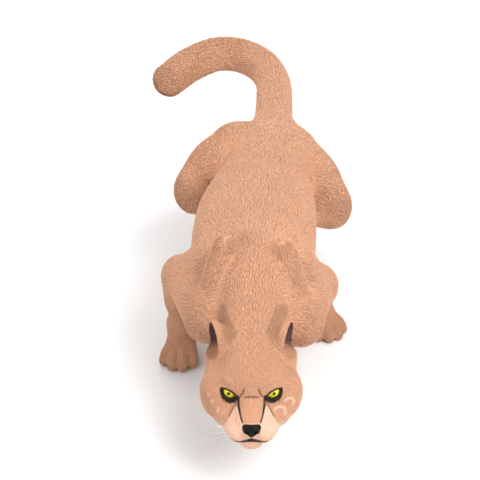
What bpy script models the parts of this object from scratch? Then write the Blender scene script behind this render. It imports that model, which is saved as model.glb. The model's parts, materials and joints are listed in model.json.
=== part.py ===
"""A life-size cougar in a low stalk: head down and forward, shoulder blades up, tail hooked to its right.

The flesh is one volume. It is fused from soft forms, which are the muscles, bones and pads, set on the joints
of the skeleton. The volume is turned into a mesh, and thin cuts part it into the named pieces of the body.
Metres, +Z up. The cougar faces -Y, and its left side is at +X.
"""

import math

import bmesh
import bpy
import numpy as np
import openvdb
from mathutils import Matrix, Vector

# Driving dimensions, in metres and degrees
RUMP_HEIGHT = 0.428
BACK_HEIGHT = 0.408
CHEST_FLOOR = 0.146
BELLY_FLOOR = 0.180
RIB_HALF_WIDTH = 0.155
HIP_HALF_WIDTH = 0.122
NECK_RADIUS = 0.086
TAIL_RADIUS = 0.054
HEAD_SIZE = 1.22
EYE_RADIUS = 0.0185
HEAD_PITCH = 12.0
PAD_HEIGHT = 0.024
GAP = 0.0003
BODY_TRIANGLES = 6800
FOOT_TRIANGLES = 740
HEAD_TRIANGLES = 4700

# Joints of the skeleton: (distance from the middle plane, Y, Z)
HEAD_CENTRE = Vector((-0.0085, -0.545, 0.228))
FORE = {
    "left": {
        "blade": (0.072, -0.258, 0.392),
        "shoulder": (0.109, -0.324, 0.252),
        "elbow": (0.162, -0.142, 0.217),
        "wrist": (0.172, 0.000, 0.078),
        "paw": (0.186, -0.030, PAD_HEIGHT),
        "turn_out": 28.0,
    },
    "right": {
        "blade": (0.072, -0.246, 0.396),
        "shoulder": (0.109, -0.318, 0.256),
        "elbow": (0.181, -0.114, 0.226),
        "wrist": (0.185, -0.104, 0.076),
        "paw": (0.184, -0.147, PAD_HEIGHT),
        "turn_out": 8.0,
    },
}
HIND = {
    "left": {
        "hip": (0.062, 0.326, 0.320),
        "knee": (0.212, 0.200, 0.244),
        "hock": (0.146, 0.385, 0.108),
        "paw": (0.120, 0.272, PAD_HEIGHT),
        "turn_out": 8.0,
    },
    "right": {
        "hip": (0.107, 0.342, 0.336),
        "knee": (0.156, 0.248, 0.263),
        "hock": (0.090, 0.418, 0.130),
        "paw": (0.068, 0.330, PAD_HEIGHT),
        "turn_out": 4.0,
    },
}
SIDES = {"left": 1.0, "right": -1.0}
COLOURS = {
    "coat": ((0.730, 0.386, 0.235), 0.85),
    "eye": ((0.880, 0.740, 0.020), 0.15),
    "nose": ((0.020, 0.016, 0.016), 0.45),
}

# How the volume is sampled
FAR = 0.06
BLOCK = 20


def vec(*values):
    return np.array(values, float)


def unit(direction):
    direction = np.asarray(direction, float)
    return direction / np.linalg.norm(direction)


def sway(y):
    """How far the spine has swung to the cougar's left at this Y."""
    share = min(max((y + 0.08) / 0.52, 0.0), 1.0)
    return 0.062 * share * share * (3.0 - 2.0 * share)


class Form:
    """A soft solid. depth(x, y, z) is negative inside, and nothing of it lies outside low to high."""

    def __init__(self, depth, low, high, blend, hollow=False):
        self.depth = depth
        self.low = np.asarray(low, float)
        self.high = np.asarray(high, float)
        self.blend = blend
        self.hollow = hollow

    def added_to(self, total, x, y, z):
        depth = self.depth(x, y, z)
        if self.hollow:
            depth = -depth
            soft = np.maximum(self.blend - np.abs(total - depth), 0.0)
            return np.maximum(total, depth) + soft * soft / (4.0 * self.blend)
        soft = np.maximum(self.blend - np.abs(total - depth), 0.0)
        return np.minimum(total, depth) - soft * soft / (4.0 * self.blend)


def ball(centre, radii, axes=None, blend=0.02, hollow=False):
    """An ellipsoid. The rows of axes are the directions of its three radii."""
    centre = np.asarray(centre, float)
    axes = np.eye(3) if axes is None else np.asarray(axes, float)
    radii = np.asarray(radii, float)
    reach = np.sqrt(((axes * radii[:, None]) ** 2).sum(axis=0))

    def depth(x, y, z):
        x, y, z = x - centre[0], y - centre[1], z - centre[2]
        along = [a[0] * x + a[1] * y + a[2] * z for a in axes]
        near = np.sqrt(sum((p / r) ** 2 for p, r in zip(along, radii)))
        slope = np.sqrt(sum((p / (r * r)) ** 2 for p, r in zip(along, radii)))
        return near * (near - 1.0) / np.maximum(slope, 1e-6)

    return Form(depth, centre - reach, centre + reach, blend, hollow)


def chain(stations, side=(1.0, 0.0, 0.0), blend=0.02, hollow=False):
    """A tube through stations of (centre, half width along side, half depth across it)."""
    points = [np.asarray(s[0], float) for s in stations]
    widths = [s[1] for s in stations]
    depths = [s[2] for s in stations]
    most = max(widths + depths)
    links = []
    for k in range(len(points) - 1):
        run = points[k + 1] - points[k]
        length = np.linalg.norm(run)
        axis = run / length
        across = unit(np.asarray(side, float) - np.dot(side, axis) * axis)
        links.append((points[k], axis, length, across, np.cross(axis, across), k))

    def depth(x, y, z):
        nearest = None
        for start, axis, length, across, third, k in links:
            px, py, pz = x - start[0], y - start[1], z - start[2]
            along = px * axis[0] + py * axis[1] + pz * axis[2]
            share = np.clip(along / length, 0.0, 1.0)
            over = along - share * length
            u = px * across[0] + py * across[1] + pz * across[2]
            v = px * third[0] + py * third[1] + pz * third[2]
            wide = widths[k] + (widths[k + 1] - widths[k]) * share
            deep = depths[k] + (depths[k + 1] - depths[k]) * share
            radius = np.sqrt(u * u + v * v + over * over)
            scaled = np.sqrt((u / wide) ** 2 + (v / deep) ** 2 + (over * 2.0 / (wide + deep)) ** 2)
            found = radius - radius / np.maximum(scaled, 1e-6)
            nearest = found if nearest is None else np.minimum(nearest, found)
        return nearest

    low = np.min(points, axis=0) - most
    high = np.max(points, axis=0) + most
    return Form(depth, low, high, blend, hollow)


def eased(stations, steps=3):
    """The stations with smooth steps added between them, so that a chain bends and swells evenly."""
    rows = np.array([[*s[0], *s[1:]] for s in stations], float)
    padded = np.vstack([2 * rows[0] - rows[1], rows, 2 * rows[-1] - rows[-2]])
    smooth = []
    for k in range(1, len(padded) - 2):
        before, start, end, after = padded[k - 1 : k + 3]
        for step in range(steps):
            t = step / steps
            slope_in = (end - before) / 2.0
            slope_out = (after - start) / 2.0
            smooth.append(
                start * (2 * t**3 - 3 * t**2 + 1)
                + slope_in * (t**3 - 2 * t**2 + t)
                + end * (3 * t**2 - 2 * t**3)
                + slope_out * (t**3 - t**2)
            )
    smooth.append(rows[-1])
    return [(row[:3], *row[3:]) for row in smooth]


def limb(start, end, start_radius, end_radius, flat=1.0, side=(1.0, 0.0, 0.0), blend=0.02):
    """A tapered length of a leg. flat is its thickness along side as a share of its depth."""
    return chain(
        [(start, start_radius * flat, start_radius), (end, end_radius * flat, end_radius)],
        side,
        blend,
    )


def trunk_forms():
    """Ribcage, belly, loin and rump. Each station has its Y, top, bottom and half width."""
    profile = [
        (0.428, RUMP_HEIGHT - 0.050, 0.290, 0.056),
        (0.378, RUMP_HEIGHT - 0.016, 0.250, 0.088),
        (0.295, RUMP_HEIGHT, 0.226, HIP_HALF_WIDTH),
        (0.180, RUMP_HEIGHT - 0.010, 0.204, 0.130),
        (0.055, BACK_HEIGHT + 0.008, BELLY_FLOOR, 0.153),
        (-0.070, BACK_HEIGHT, CHEST_FLOOR + 0.014, RIB_HALF_WIDTH),
        (-0.180, BACK_HEIGHT - 0.002, CHEST_FLOOR, 0.142),
        (-0.260, BACK_HEIGHT - 0.020, CHEST_FLOOR + 0.014, 0.116),
        (-0.322, BACK_HEIGHT - 0.056, CHEST_FLOOR + 0.044, 0.092),
    ]
    stations = [((sway(y), y, (top + low) / 2), half, (top - low) / 2) for y, top, low, half in profile]
    return [chain(eased(stations, 5), blend=0.03)]


def neck_forms():
    stations = [
        ((0.0, -0.240, 0.322), NECK_RADIUS + 0.010, NECK_RADIUS + 0.014),
        ((0.0, -0.325, 0.296), NECK_RADIUS + 0.002, NECK_RADIUS + 0.006),
        ((-0.004, -0.395, 0.264), NECK_RADIUS - 0.006, NECK_RADIUS - 0.004),
        ((-0.008, -0.460, 0.242), NECK_RADIUS - 0.012, NECK_RADIUS - 0.014),
    ]
    return [chain(eased(stations, 5), blend=0.035)]


def tail_stations():
    """The tail hangs behind the rump, then hooks to the cougar's right and turns its tip forward."""
    route = [
        (0.058, 0.372, 0.362),
        (0.062, 0.470, 0.366),
        (0.067, 0.580, 0.366),
        (0.066, 0.700, 0.370),
        (0.036, 0.798, 0.378),
        (-0.028, 0.860, 0.386),
        (-0.108, 0.866, 0.388),
        (-0.188, 0.804, 0.380),
        (-0.244, 0.724, 0.370),
    ]
    swell = [0.006, 0.001, 0.0, -0.001, 0.0, 0.0, 0.0, 0.0, -0.002]
    return eased([(place, TAIL_RADIUS + more, TAIL_RADIUS + more) for place, more in zip(route, swell)], 4)


def tail_forms():
    return [chain(tail_stations(), side=(0.0, 0.0, 1.0), blend=0.03)]


def at(place, sign):
    """The world point of a joint given as (distance from the middle plane, Y, Z)."""
    return vec(sign * place[0], place[1], place[2])


def paw_forms(centre, sign, turn_out, size):
    """Palm and four toes. size is 1 for a front paw."""
    turn = math.radians(turn_out) * sign
    ahead = vec(math.sin(turn), -math.cos(turn), 0.0)
    out = vec(math.cos(turn), math.sin(turn), 0.0)
    up = vec(0.0, 0.0, 1.0)
    axes = np.array([out, ahead, up])
    forms = [
        ball(centre - 0.016 * size * ahead + 0.008 * up, vec(0.036, 0.044, 0.033) * size, axes, 0.016),
        ball(centre + 0.010 * size * ahead + 0.004 * up, vec(0.041, 0.030, 0.027) * size, axes, 0.012),
    ]
    for lateral, forward, fan in ((-1.0, 0.020, -12), (-0.36, 0.037, -4), (0.36, 0.037, 4), (1.0, 0.020, 12)):
        spread = math.radians(fan)
        toe_ahead = ahead * math.cos(spread) + out * math.sin(spread)
        toe_out = np.cross(toe_ahead, up)
        toe_axes = np.array([toe_out, toe_ahead, up])
        knuckle = centre + size * (0.0325 * lateral * out + forward * ahead) - 0.002 * up
        tip = knuckle + 0.015 * size * toe_ahead - 0.008 * up
        forms.append(ball(knuckle, vec(0.0150, 0.026, 0.0235) * size, toe_axes, 0.006))
        forms.append(ball(tip, vec(0.0135, 0.017, 0.0185) * size, toe_axes, 0.006))
    return forms


def foreleg_forms(name):
    sign = SIDES[name]
    joints = FORE[name]
    names = ("blade", "shoulder", "elbow", "wrist", "paw")
    blade, shoulder, elbow, wrist, paw = (at(joints[joint], sign) for joint in names)
    out = vec(sign, 0.0, 0.0)
    up = vec(0.0, 0.0, 1.0)
    back = vec(0.0, 1.0, 0.0)
    armpit = blade + 0.050 * back - 0.085 * up + 0.026 * out
    forms = [
        limb(blade, shoulder - 0.006 * out, 0.040, 0.066, 0.66, out, 0.026),
        limb(blade + 0.004 * up, blade + 0.3 * (shoulder - blade), 0.022, 0.030, 0.6, out, 0.014),
        limb(shoulder, elbow, 0.062, 0.046, 0.88, out, 0.026),
        limb(armpit, elbow + 0.010 * up, 0.060, 0.042, 0.72, out, 0.03),
        ball(elbow + 0.022 * back + 0.016 * up, (0.019, 0.022, 0.020), None, 0.02),
        limb(elbow, elbow + 0.45 * (wrist - elbow), 0.045, 0.041, 0.92, out, 0.02),
        limb(elbow + 0.3 * (wrist - elbow), wrist, 0.039, 0.028, 1.0, out, 0.02),
        ball(wrist, (0.031, 0.030, 0.030), None, 0.014),
        limb(wrist, paw + 0.010 * up, 0.029, 0.032, 1.1, out, 0.016),
        ball(wrist - sign * vec(0.026, 0, 0) - 0.012 * up - 0.014 * back, (0.009, 0.010, 0.014), None, 0.006),
    ]
    return forms + paw_forms(paw, sign, joints["turn_out"], 1.0)


def thigh_forms(hip, knee, sign):
    """The muscle that rounds the thigh's outside, and the fold of skin from the flank to the knee."""
    out = vec(sign, 0.0, 0.0)
    run = unit(knee - hip)
    across = unit(out - np.dot(out, run) * run)
    axes = np.array([run, across, np.cross(run, across)])
    muscle = hip + 0.48 * (knee - hip) + 0.008 * across + vec(0.0, 0.0, 0.008)
    flank = vec(sway(0.12) + sign * 0.062, 0.120, 0.232)
    return [
        ball(muscle, (0.086, 0.062, 0.074), axes, 0.03),
        limb(flank, knee - vec(0.0, 0.012, 0.014), 0.026, 0.032, 0.9, out, 0.035),
    ]


def hindleg_forms(name):
    sign = SIDES[name]
    joints = HIND[name]
    hip, knee, hock, paw = (at(joints[j], sign) for j in ("hip", "knee", "hock", "paw"))
    hip = hip + vec(sway(hip[1]), 0.0, 0.0)
    out = vec(sign, 0.0, 0.0)
    up = vec(0.0, 0.0, 1.0)
    back = vec(0.0, 1.0, 0.0)
    seat = hip + 0.050 * back - 0.030 * up - 0.010 * out
    calf = knee + 0.34 * (hock - knee)
    forms = [
        limb(hip, knee, 0.084, 0.060, 0.72, out, 0.035),
        limb(seat, calf + 0.012 * up, 0.066, 0.050, 0.70, out, 0.035),
        limb(hip + 0.010 * up, knee + 0.020 * up + 0.012 * back, 0.070, 0.052, 0.8, out, 0.03),
        ball(knee + 0.004 * out - 0.006 * up, (0.040, 0.044, 0.046), None, 0.024),
        limb(knee, calf, 0.056, 0.047, 0.84, out, 0.024),
        limb(calf, hock, 0.044, 0.024, 0.86, out, 0.022),
        ball(hock + 0.014 * back + 0.006 * up, (0.019, 0.022, 0.026), None, 0.014),
        ball(hock, (0.026, 0.030, 0.028), None, 0.016),
        limb(hock, paw + 0.010 * up, 0.026, 0.029, 1.0, out, 0.016),
    ]
    return forms + thigh_forms(hip, knee, sign) + paw_forms(paw, sign, joints["turn_out"], 0.90)


def head_axes():
    """The head's own directions, as rows: to its left, forward and up."""
    pitch = math.radians(HEAD_PITCH)
    return np.array(
        [
            [1.0, 0.0, 0.0],
            [0.0, -math.cos(pitch), math.sin(pitch)],
            [0.0, math.sin(pitch), math.cos(pitch)],
        ]
    )


def on_head(x, forward, up):
    """The world point of a place on the head, measured from midway between the eyes."""
    return np.array(HEAD_CENTRE) + HEAD_SIZE * vec(x, forward, up) @ head_axes()


def turned(yaw=0.0, pitch=0.0, roll=0.0):
    """The head's directions, turned about its up, side and forward axes in degrees, as rows."""
    spin = (
        Matrix.Rotation(math.radians(yaw), 3, "Z")
        @ Matrix.Rotation(math.radians(pitch), 3, "X")
        @ Matrix.Rotation(math.radians(roll), 3, "Y")
    )
    return np.array(spin).T @ head_axes()


def head_ball(place, radii, blend, yaw=0.0, pitch=0.0, roll=0.0, hollow=False):
    """A ball on the head. Yaw turns its front to the left, pitch tips it up and roll leans it to the left."""
    return ball(on_head(*place), HEAD_SIZE * vec(*radii), turned(yaw, pitch, roll), blend, hollow)


def head_chain(stations, blend, hollow=False):
    """A chain on the head through stations of (x, forward, up, half width, half depth)."""
    placed = [(on_head(*row[:3]), HEAD_SIZE * row[3], HEAD_SIZE * row[4]) for row in stations]
    return chain(placed, head_axes()[0], blend, hollow)


def skull_forms():
    return [
        head_ball((0, -0.058, -0.004), (0.068, 0.082, 0.060), 0.02),
        head_ball((0, -0.020, 0.010), (0.052, 0.036, 0.028), 0.02),
        head_chain(
            [
                (0, -0.006, -0.006, 0.030, 0.022),
                (0, 0.027, -0.021, 0.0260, 0.020),
                (0, 0.055, -0.0345, 0.0210, 0.0160),
            ],
            0.014,
        ),
        head_ball((0, 0.022, -0.0485), (0.039, 0.043, 0.032), 0.020),
    ]


def cheek_forms(sign):
    return [
        head_ball((sign * 0.053, -0.042, -0.014), (0.034, 0.048, 0.036), 0.026, yaw=-sign * 14),
        head_ball((sign * 0.053, -0.046, -0.0335), (0.0375, 0.052, 0.0455), 0.028),
        head_ball((sign * 0.066, -0.080, 0.024), (0.019, 0.024, 0.026), 0.020),
        head_ball((sign * 0.038, -0.006, -0.041), (0.026, 0.040, 0.030), 0.026, yaw=-sign * 24),
        head_chain(
            [
                (sign * 0.022, 0.008, -0.073, 0.018, 0.018),
                (sign * 0.042, -0.056, -0.050, 0.026, 0.030),
            ],
            0.022,
        ),
    ]


def brow_forms(sign):
    place = (sign * 0.028, 0.000, 0.0165)
    return [head_ball(place, (0.021, 0.015, 0.0080), 0.010, yaw=-sign * 22, roll=-sign * 18)]


def eye_place(sign):
    return on_head(sign * 0.0355, -0.0015, -0.001)


def eye_turn(sign):
    """The eye looks a little outward, and its corners slant down towards the nose."""
    return turned(yaw=-sign * 18, pitch=2, roll=-sign * 20)


def lid_forms(sign):
    """The mound of the lids over the eyeball, and the slit between them."""
    place = eye_place(sign)
    axes = eye_turn(sign)
    look = axes[1]
    mound = ball(place + 0.001 * look, vec(1, 1, 1) * (EYE_RADIUS + 0.0030), axes, 0.008)
    corner = ball(place + look * 0.007 - sign * axes[0] * 0.0185, vec(0.008, 0.009, 0.005), axes, 0.006)
    return [mound, corner, lid_slit(place + look * EYE_RADIUS, axes)]


def lid_slit(centre, axes):
    """An almond: what two circles share, one above the other, cut back into the lids."""
    half_width, upper, lower, deep = 0.0180, 0.0066, 0.0112, 0.013
    discs = []
    for height, sign in ((upper, -1.0), (lower, 1.0)):
        radius = (half_width**2 + height**2) / (2 * height)
        middle = centre + sign * (radius - height) * axes[2]
        discs.append(ball(middle, (radius, deep * radius / half_width, radius), axes))

    def depth(x, y, z):
        return np.maximum(discs[0].depth(x, y, z), discs[1].depth(x, y, z))

    return Form(depth, centre - 0.02, centre + 0.02, 0.002, hollow=True)


def muzzle_forms(sign):
    return [
        head_ball((sign * 0.0205, 0.046, -0.0535), (0.0205, 0.0250, 0.0185), 0.007, yaw=-sign * 14),
        head_ball((sign * 0.030, 0.024, -0.0525), (0.017, 0.029, 0.0205), 0.014, yaw=-sign * 18),
    ]


def chin_forms():
    return [
        head_chain(
            [
                (0, 0.0408, -0.0788, 0.0215, 0.0142),
                (0, 0.0180, -0.0785, 0.0340, 0.0162),
                (0, -0.0120, -0.0755, 0.0410, 0.0200),
            ],
            0.0025,
        )
    ]


def mouth_forms(sign):
    """The thin lower lip, and the line of the mouth sunk above it, from the middle to one corner."""
    line = [
        (0.000, 0.0580, -0.0682),
        (0.012, 0.0580, -0.0702),
        (0.024, 0.0530, -0.0731),
        (0.035, 0.0385, -0.0740),
        (0.043, 0.0225, -0.0716),
        (0.047, 0.0090, -0.0673),
    ]
    forms = []
    for rise, ahead, radius, hollow in ((-0.0038, -0.0052, 0.0030, False), (-0.0004, 0.0005, 0.0014, True)):
        stations = [(sign * x, forward + ahead, up + rise, radius, radius) for x, forward, up in line]
        forms.append(head_chain(stations, 0.0030, hollow))
    return forms


def nose_forms():
    """The nose pad, and on each side its wing, nostril and the slit beside the nostril."""
    forms = [
        head_ball((0, 0.0670, -0.0400), (0.0138, 0.0100, 0.0100), 0.004),
        head_ball((0, 0.0695, -0.0480), (0.0070, 0.0065, 0.0065), 0.004),
    ]
    for sign in SIDES.values():
        slit = (sign * 0.0128, 0.0720, -0.0424)
        forms += [
            head_ball((sign * 0.0098, 0.0675, -0.0418), (0.0066, 0.0085, 0.0064), 0.003),
            head_ball((sign * 0.0074, 0.0760, -0.0442), (0.0034, 0.0070, 0.0026), 0.0012, hollow=True),
            head_ball(slit, (0.0045, 0.0046, 0.0016), 0.0012, roll=-sign * 25, hollow=True),
        ]
    return forms


def ear_frame(sign):
    """The root of an ear, and its directions: across it, the way it opens, and up to its tip."""
    tip = unit(vec(sign * 0.20, -0.18, 0.95) @ head_axes())
    opens = vec(sign * 0.96, 0.28, 0.0) @ head_axes()
    opens = unit(opens - np.dot(opens, tip) * tip)
    return on_head(sign * 0.056, -0.070, 0.040), np.array([np.cross(opens, tip), opens, tip])


def ear_forms(sign):
    """The shell of an ear, and the cup sunk into it."""
    root, axes = ear_frame(sign)
    across, opens, tip = axes * HEAD_SIZE
    cup = root + 0.024 * tip + 0.0130 * opens
    return [
        ball(root + 0.022 * tip, HEAD_SIZE * vec(0.0325, 0.0195, 0.0385), axes, 0.010),
        ball(cup, HEAD_SIZE * vec(0.0288, 0.0265, 0.0343), axes, 0.003, hollow=True),
    ]


def head_forms():
    forms = skull_forms()
    for sign in SIDES.values():
        forms += cheek_forms(sign)
    for sign in SIDES.values():
        forms += brow_forms(sign) + muzzle_forms(sign)
    forms += chin_forms() + nose_forms()
    for sign in SIDES.values():
        forms += mouth_forms(sign) + lid_forms(sign) + ear_forms(sign)
    return forms


def body_forms():
    forms = trunk_forms() + neck_forms() + tail_forms()
    for name in SIDES:
        forms += foreleg_forms(name) + hindleg_forms(name)
    return forms + head_forms()


def depth_at(forms, x, y, z, low, high):
    """Depth of the fused forms at points that all lie between low and high."""
    total = np.full(np.broadcast(x, y, z).shape, FAR)
    for form in forms:
        reach = form.blend + 0.01
        if np.all(form.low - reach < high) and np.all(form.high + reach > low):
            total = form.added_to(total, x, y, z)
    return total


def sampled(forms, low, high, voxel):
    """The fused depth on a grid, worked out only in the blocks that the surface may cross."""
    low = np.asarray(low, float)
    counts = np.ceil((np.asarray(high, float) - low) / voxel).astype(int) + 1
    grid = np.full(counts, FAR, np.float32)
    for i in range(0, counts[0], BLOCK):
        for j in range(0, counts[1], BLOCK):
            for k in range(0, counts[2], BLOCK):
                start = np.array([i, j, k])
                end = np.minimum(start + BLOCK, counts)
                near, far = low + start * voxel, low + (end - 1) * voxel
                middle = (near + far) / 2
                half = np.linalg.norm(far - near) / 2
                probe = depth_at(forms, *(middle[:, None]), middle - half, middle + half)[0]
                window = tuple(slice(a, b) for a, b in zip(start, end))
                if abs(probe) > 1.7 * half + 0.01:
                    grid[window] = math.copysign(FAR, probe)
                    continue
                x, y, z = np.ix_(*(low[a] + np.arange(start[a], end[a]) * voxel for a in range(3)))
                grid[window] = depth_at(forms, x, y, z, near, far)
    return grid


def mesh_of(grid, low, voxel):
    """(points, quads) of the surface where the depth is zero."""
    volume = openvdb.FloatGrid(FAR)
    volume.copyFromArray(np.ascontiguousarray(grid))
    volume.transform = openvdb.createLinearTransform(voxelSize=voxel)
    points, triangles, quads = volume.convertToPolygons(isovalue=0.0, adaptivity=0.0)
    return points + np.asarray(low, np.float32), quads


def clear_scene():
    for old in list(bpy.data.objects):
        bpy.data.objects.remove(old, do_unlink=True)


def object_of(name, points, faces):
    """A mesh object with its faces turned outward."""
    mesh = bpy.data.meshes.new(name)
    mesh.from_pydata([tuple(point) for point in points], [], [tuple(face) for face in faces])
    work = bmesh.new()
    work.from_mesh(mesh)
    bmesh.ops.recalc_face_normals(work, faces=work.faces)
    work.to_mesh(mesh)
    work.free()
    made = bpy.data.objects.new(name, mesh)
    bpy.context.scene.collection.objects.link(made)
    return made


def copy_of(source, name):
    made = bpy.data.objects.new(name, source.data.copy())
    bpy.context.scene.collection.objects.link(made)
    return made


def apply_modifier(target, kind, **settings):
    """Add one modifier, and put its result in place of the object's mesh."""
    modifier = target.modifiers.new(kind, kind)
    for key, value in settings.items():
        setattr(modifier, key, value)
    graph = bpy.context.evaluated_depsgraph_get()
    result = bpy.data.meshes.new_from_object(target.evaluated_get(graph))
    target.modifiers.clear()
    target.data = result


def flesh_object(name, low, high, voxel, triangles):
    """The fused body between low and high, as a closed mesh of about this many triangles."""
    grid = sampled(body_forms(), low, high, voxel)
    points, quads = mesh_of(grid, low, voxel)
    made = object_of(name, points, quads)
    apply_modifier(made, "DECIMATE", ratio=triangles / (2.0 * len(quads)))
    return made


class Slab:
    """A box that begins at a point and runs along a direction. What flesh lies in it becomes one piece."""

    def __init__(self, point, direction, length, width=1.0, height=1.0, upward=None):
        self.point = np.asarray(point, float)
        along = unit(direction)
        if upward is None:
            upward = vec(0, 0, 1) if abs(along[2]) < 0.9 else vec(0, 1, 0)
        across = unit(np.cross(along, upward))
        self.axes = np.array([along, across, np.cross(along, across)])
        self.low = vec(0.0, -width / 2, -height / 2)
        self.high = vec(length, width / 2, height / 2)

    def as_object(self, grow):
        """The box as a closed mesh, with every face moved out by grow."""
        ends = np.array([self.low - grow, self.high + grow])
        corners = [vec(a, b, c) for a in ends[:, 0] for b in ends[:, 1] for c in ends[:, 2]]
        points = [self.point + corner @ self.axes for corner in corners]
        faces = [(0, 1, 3, 2), (4, 6, 7, 5), (0, 4, 5, 1), (2, 3, 7, 6), (0, 2, 6, 4), (1, 5, 7, 3)]
        return object_of("cutter", points, faces)


def cut(target, cutter, operation):
    """Apply one Boolean, keep the largest closed surface, and remove the cutter."""
    apply_modifier(target, "BOOLEAN", operation=operation, solver="EXACT", object=cutter)
    bpy.data.objects.remove(cutter, do_unlink=True)
    keep_largest(target)


def keep_largest(target):
    work = bmesh.new()
    work.from_mesh(target.data)
    work.faces.ensure_lookup_table()
    islands = []
    seen = set()
    for first in work.faces:
        if first in seen:
            continue
        island = {first}
        border = [first]
        while border:
            face = border.pop()
            for edge in face.edges:
                for other in edge.link_faces:
                    if other not in island:
                        island.add(other)
                        border.append(other)
        seen |= island
        islands.append(island)
    islands.sort(key=lambda island: sum(face.calc_area() for face in island))
    for island in islands[:-1]:
        bmesh.ops.delete(work, geom=list(island), context="FACES")
    work.to_mesh(target.data)
    work.free()


def part_off(flesh, name, slab):
    """Cut the slab's share of the flesh off, with a gap between the two."""
    piece = copy_of(flesh, name)
    cut(piece, slab.as_object(-GAP / 2), "INTERSECT")
    cut(flesh, slab.as_object(GAP / 2), "DIFFERENCE")
    return piece


def neck_slab():
    return Slab(on_head(0.0, -0.096, 0.0), head_axes()[1], 0.40, 0.34, 0.50)


def wrist_slab(name):
    wrist = at(FORE[name]["wrist"], SIDES[name])
    top = wrist - vec(0, 0.02, 0.008)
    return Slab(top, (0, 0, -1), top[2] + GAP / 2, 0.13, 0.22)


def ankle_slab(name):
    hock, paw = (at(HIND[name][joint], SIDES[name]) for joint in ("hock", "paw"))
    top = vec(*(hock + 0.45 * (paw - hock))[:2], 0.066)
    return Slab(top, (0, 0, -1), top[2] + GAP / 2, 0.12, 0.20)


def leg_slabs(name):
    """The slabs that part off one side's legs, from the floor up, each with the name of its piece."""
    sign = SIDES[name]
    elbow, wrist = (at(FORE[name][joint], sign) for joint in ("elbow", "wrist"))
    knee, hock = (at(HIND[name][joint], sign) for joint in ("knee", "hock"))
    arm_root = vec(sign * 0.116, -0.200, 0.235)
    thigh_root = vec(sign * 0.100 + sway(0.3) * 0.8, 0.290, 0.330)
    return [
        ("forearm_" + name, Slab(elbow + 0.22 * (wrist - elbow), wrist - elbow, 0.20, 0.13, 0.13)),
        ("upper_arm_" + name, Slab(arm_root, (sign, 0, -0.38), 0.22, 0.42, 0.24)),
        ("shank_" + name, Slab(knee + 0.30 * (hock - knee), hock - knee, 0.24, 0.12, 0.12)),
        ("thigh_" + name, Slab(thigh_root, (sign, -0.10, -0.30), 0.24, 0.36, 0.30)),
    ]


def trunk_slabs():
    return [
        ("neck", Slab((0.0, -0.312, 0.28), (0, -1, 0), 0.40)),
        ("tail_tip", Slab((-0.050, 0.86, 0.38), (-1, 0, 0), 0.40, 0.60, 0.40)),
        ("tail_middle", Slab((0.02, 0.650, 0.38), (0, 1, 0), 0.40)),
        ("tail_base", Slab((0.04, 0.458, 0.38), (0, 1, 0), 0.60)),
        ("rump", Slab((0.04, 0.225, 0.30), (0, 1, 0), 0.60)),
        ("chest", Slab((0.0, -0.030, 0.30), (0, -1, 0), 0.60)),
    ]


def body_pieces():
    flesh = flesh_object("belly", (-0.34, -0.70, -0.03), (0.34, 0.98, 0.52), 0.009, BODY_TRIANGLES)
    cut(flesh, neck_slab().as_object(GAP / 2), "DIFFERENCE")
    for name in SIDES:
        cut(flesh, wrist_slab(name).as_object(GAP / 2), "DIFFERENCE")
        cut(flesh, ankle_slab(name).as_object(GAP / 2), "DIFFERENCE")
    pieces = [part_off(flesh, name, slab) for side in SIDES for name, slab in leg_slabs(side)]
    pieces += [part_off(flesh, name, slab) for name, slab in trunk_slabs()]
    return pieces + [flesh]


def foot_piece(name, slab, centre):
    low = centre - vec(0.085, 0.13, 0.06)
    high = centre + vec(0.085, 0.13, 0.11)
    foot = flesh_object(name, low, high, 0.0035, FOOT_TRIANGLES)
    cut(foot, slab.as_object(-GAP / 2), "INTERSECT")
    return foot


def foot_pieces():
    pieces = []
    for name, sign in SIDES.items():
        pieces.append(foot_piece("forepaw_" + name, wrist_slab(name), at(FORE[name]["paw"], sign)))
        pieces.append(foot_piece("hind_foot_" + name, ankle_slab(name), at(HIND[name]["paw"], sign)))
    return pieces


def eyeball(name, centre, radius):
    mesh = bpy.data.meshes.new(name)
    work = bmesh.new()
    bmesh.ops.create_uvsphere(work, u_segments=20, v_segments=10, radius=radius)
    bmesh.ops.translate(work, verts=work.verts, vec=Vector(centre))
    work.to_mesh(mesh)
    work.free()
    made = bpy.data.objects.new(name, mesh)
    bpy.context.scene.collection.objects.link(made)
    return made


def nose_cutter(grow):
    """A prism around the nose pad: broad above, narrow below."""
    outline = [(-0.0120, -0.0292), (0.0120, -0.0292), (0.0170, -0.0350), (0.0158, -0.0425)]
    outline += [(0.0058, -0.0525), (-0.0058, -0.0525), (-0.0158, -0.0425), (-0.0170, -0.0350)]
    middle = -0.0410
    points = []
    for forward in (0.0620 - grow / HEAD_SIZE, 0.1200):
        for x, up in outline:
            reach = math.hypot(x, up - middle)
            scale = 1.0 + grow / (HEAD_SIZE * reach)
            points.append(on_head(x * scale, forward, middle + (up - middle) * scale))
    count = len(outline)
    faces = [tuple(range(count)), tuple(range(2 * count - 1, count - 1, -1))]
    for k in range(count):
        after = (k + 1) % count
        faces.append((k, k + count, after + count, after))
    return object_of("cutter", points, faces)


def ear_slab(sign):
    root, axes = ear_frame(sign)
    return Slab(root + HEAD_SIZE * 0.012 * axes[2], axes[2], 0.12, 0.085, 0.070, upward=axes[1])


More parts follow.
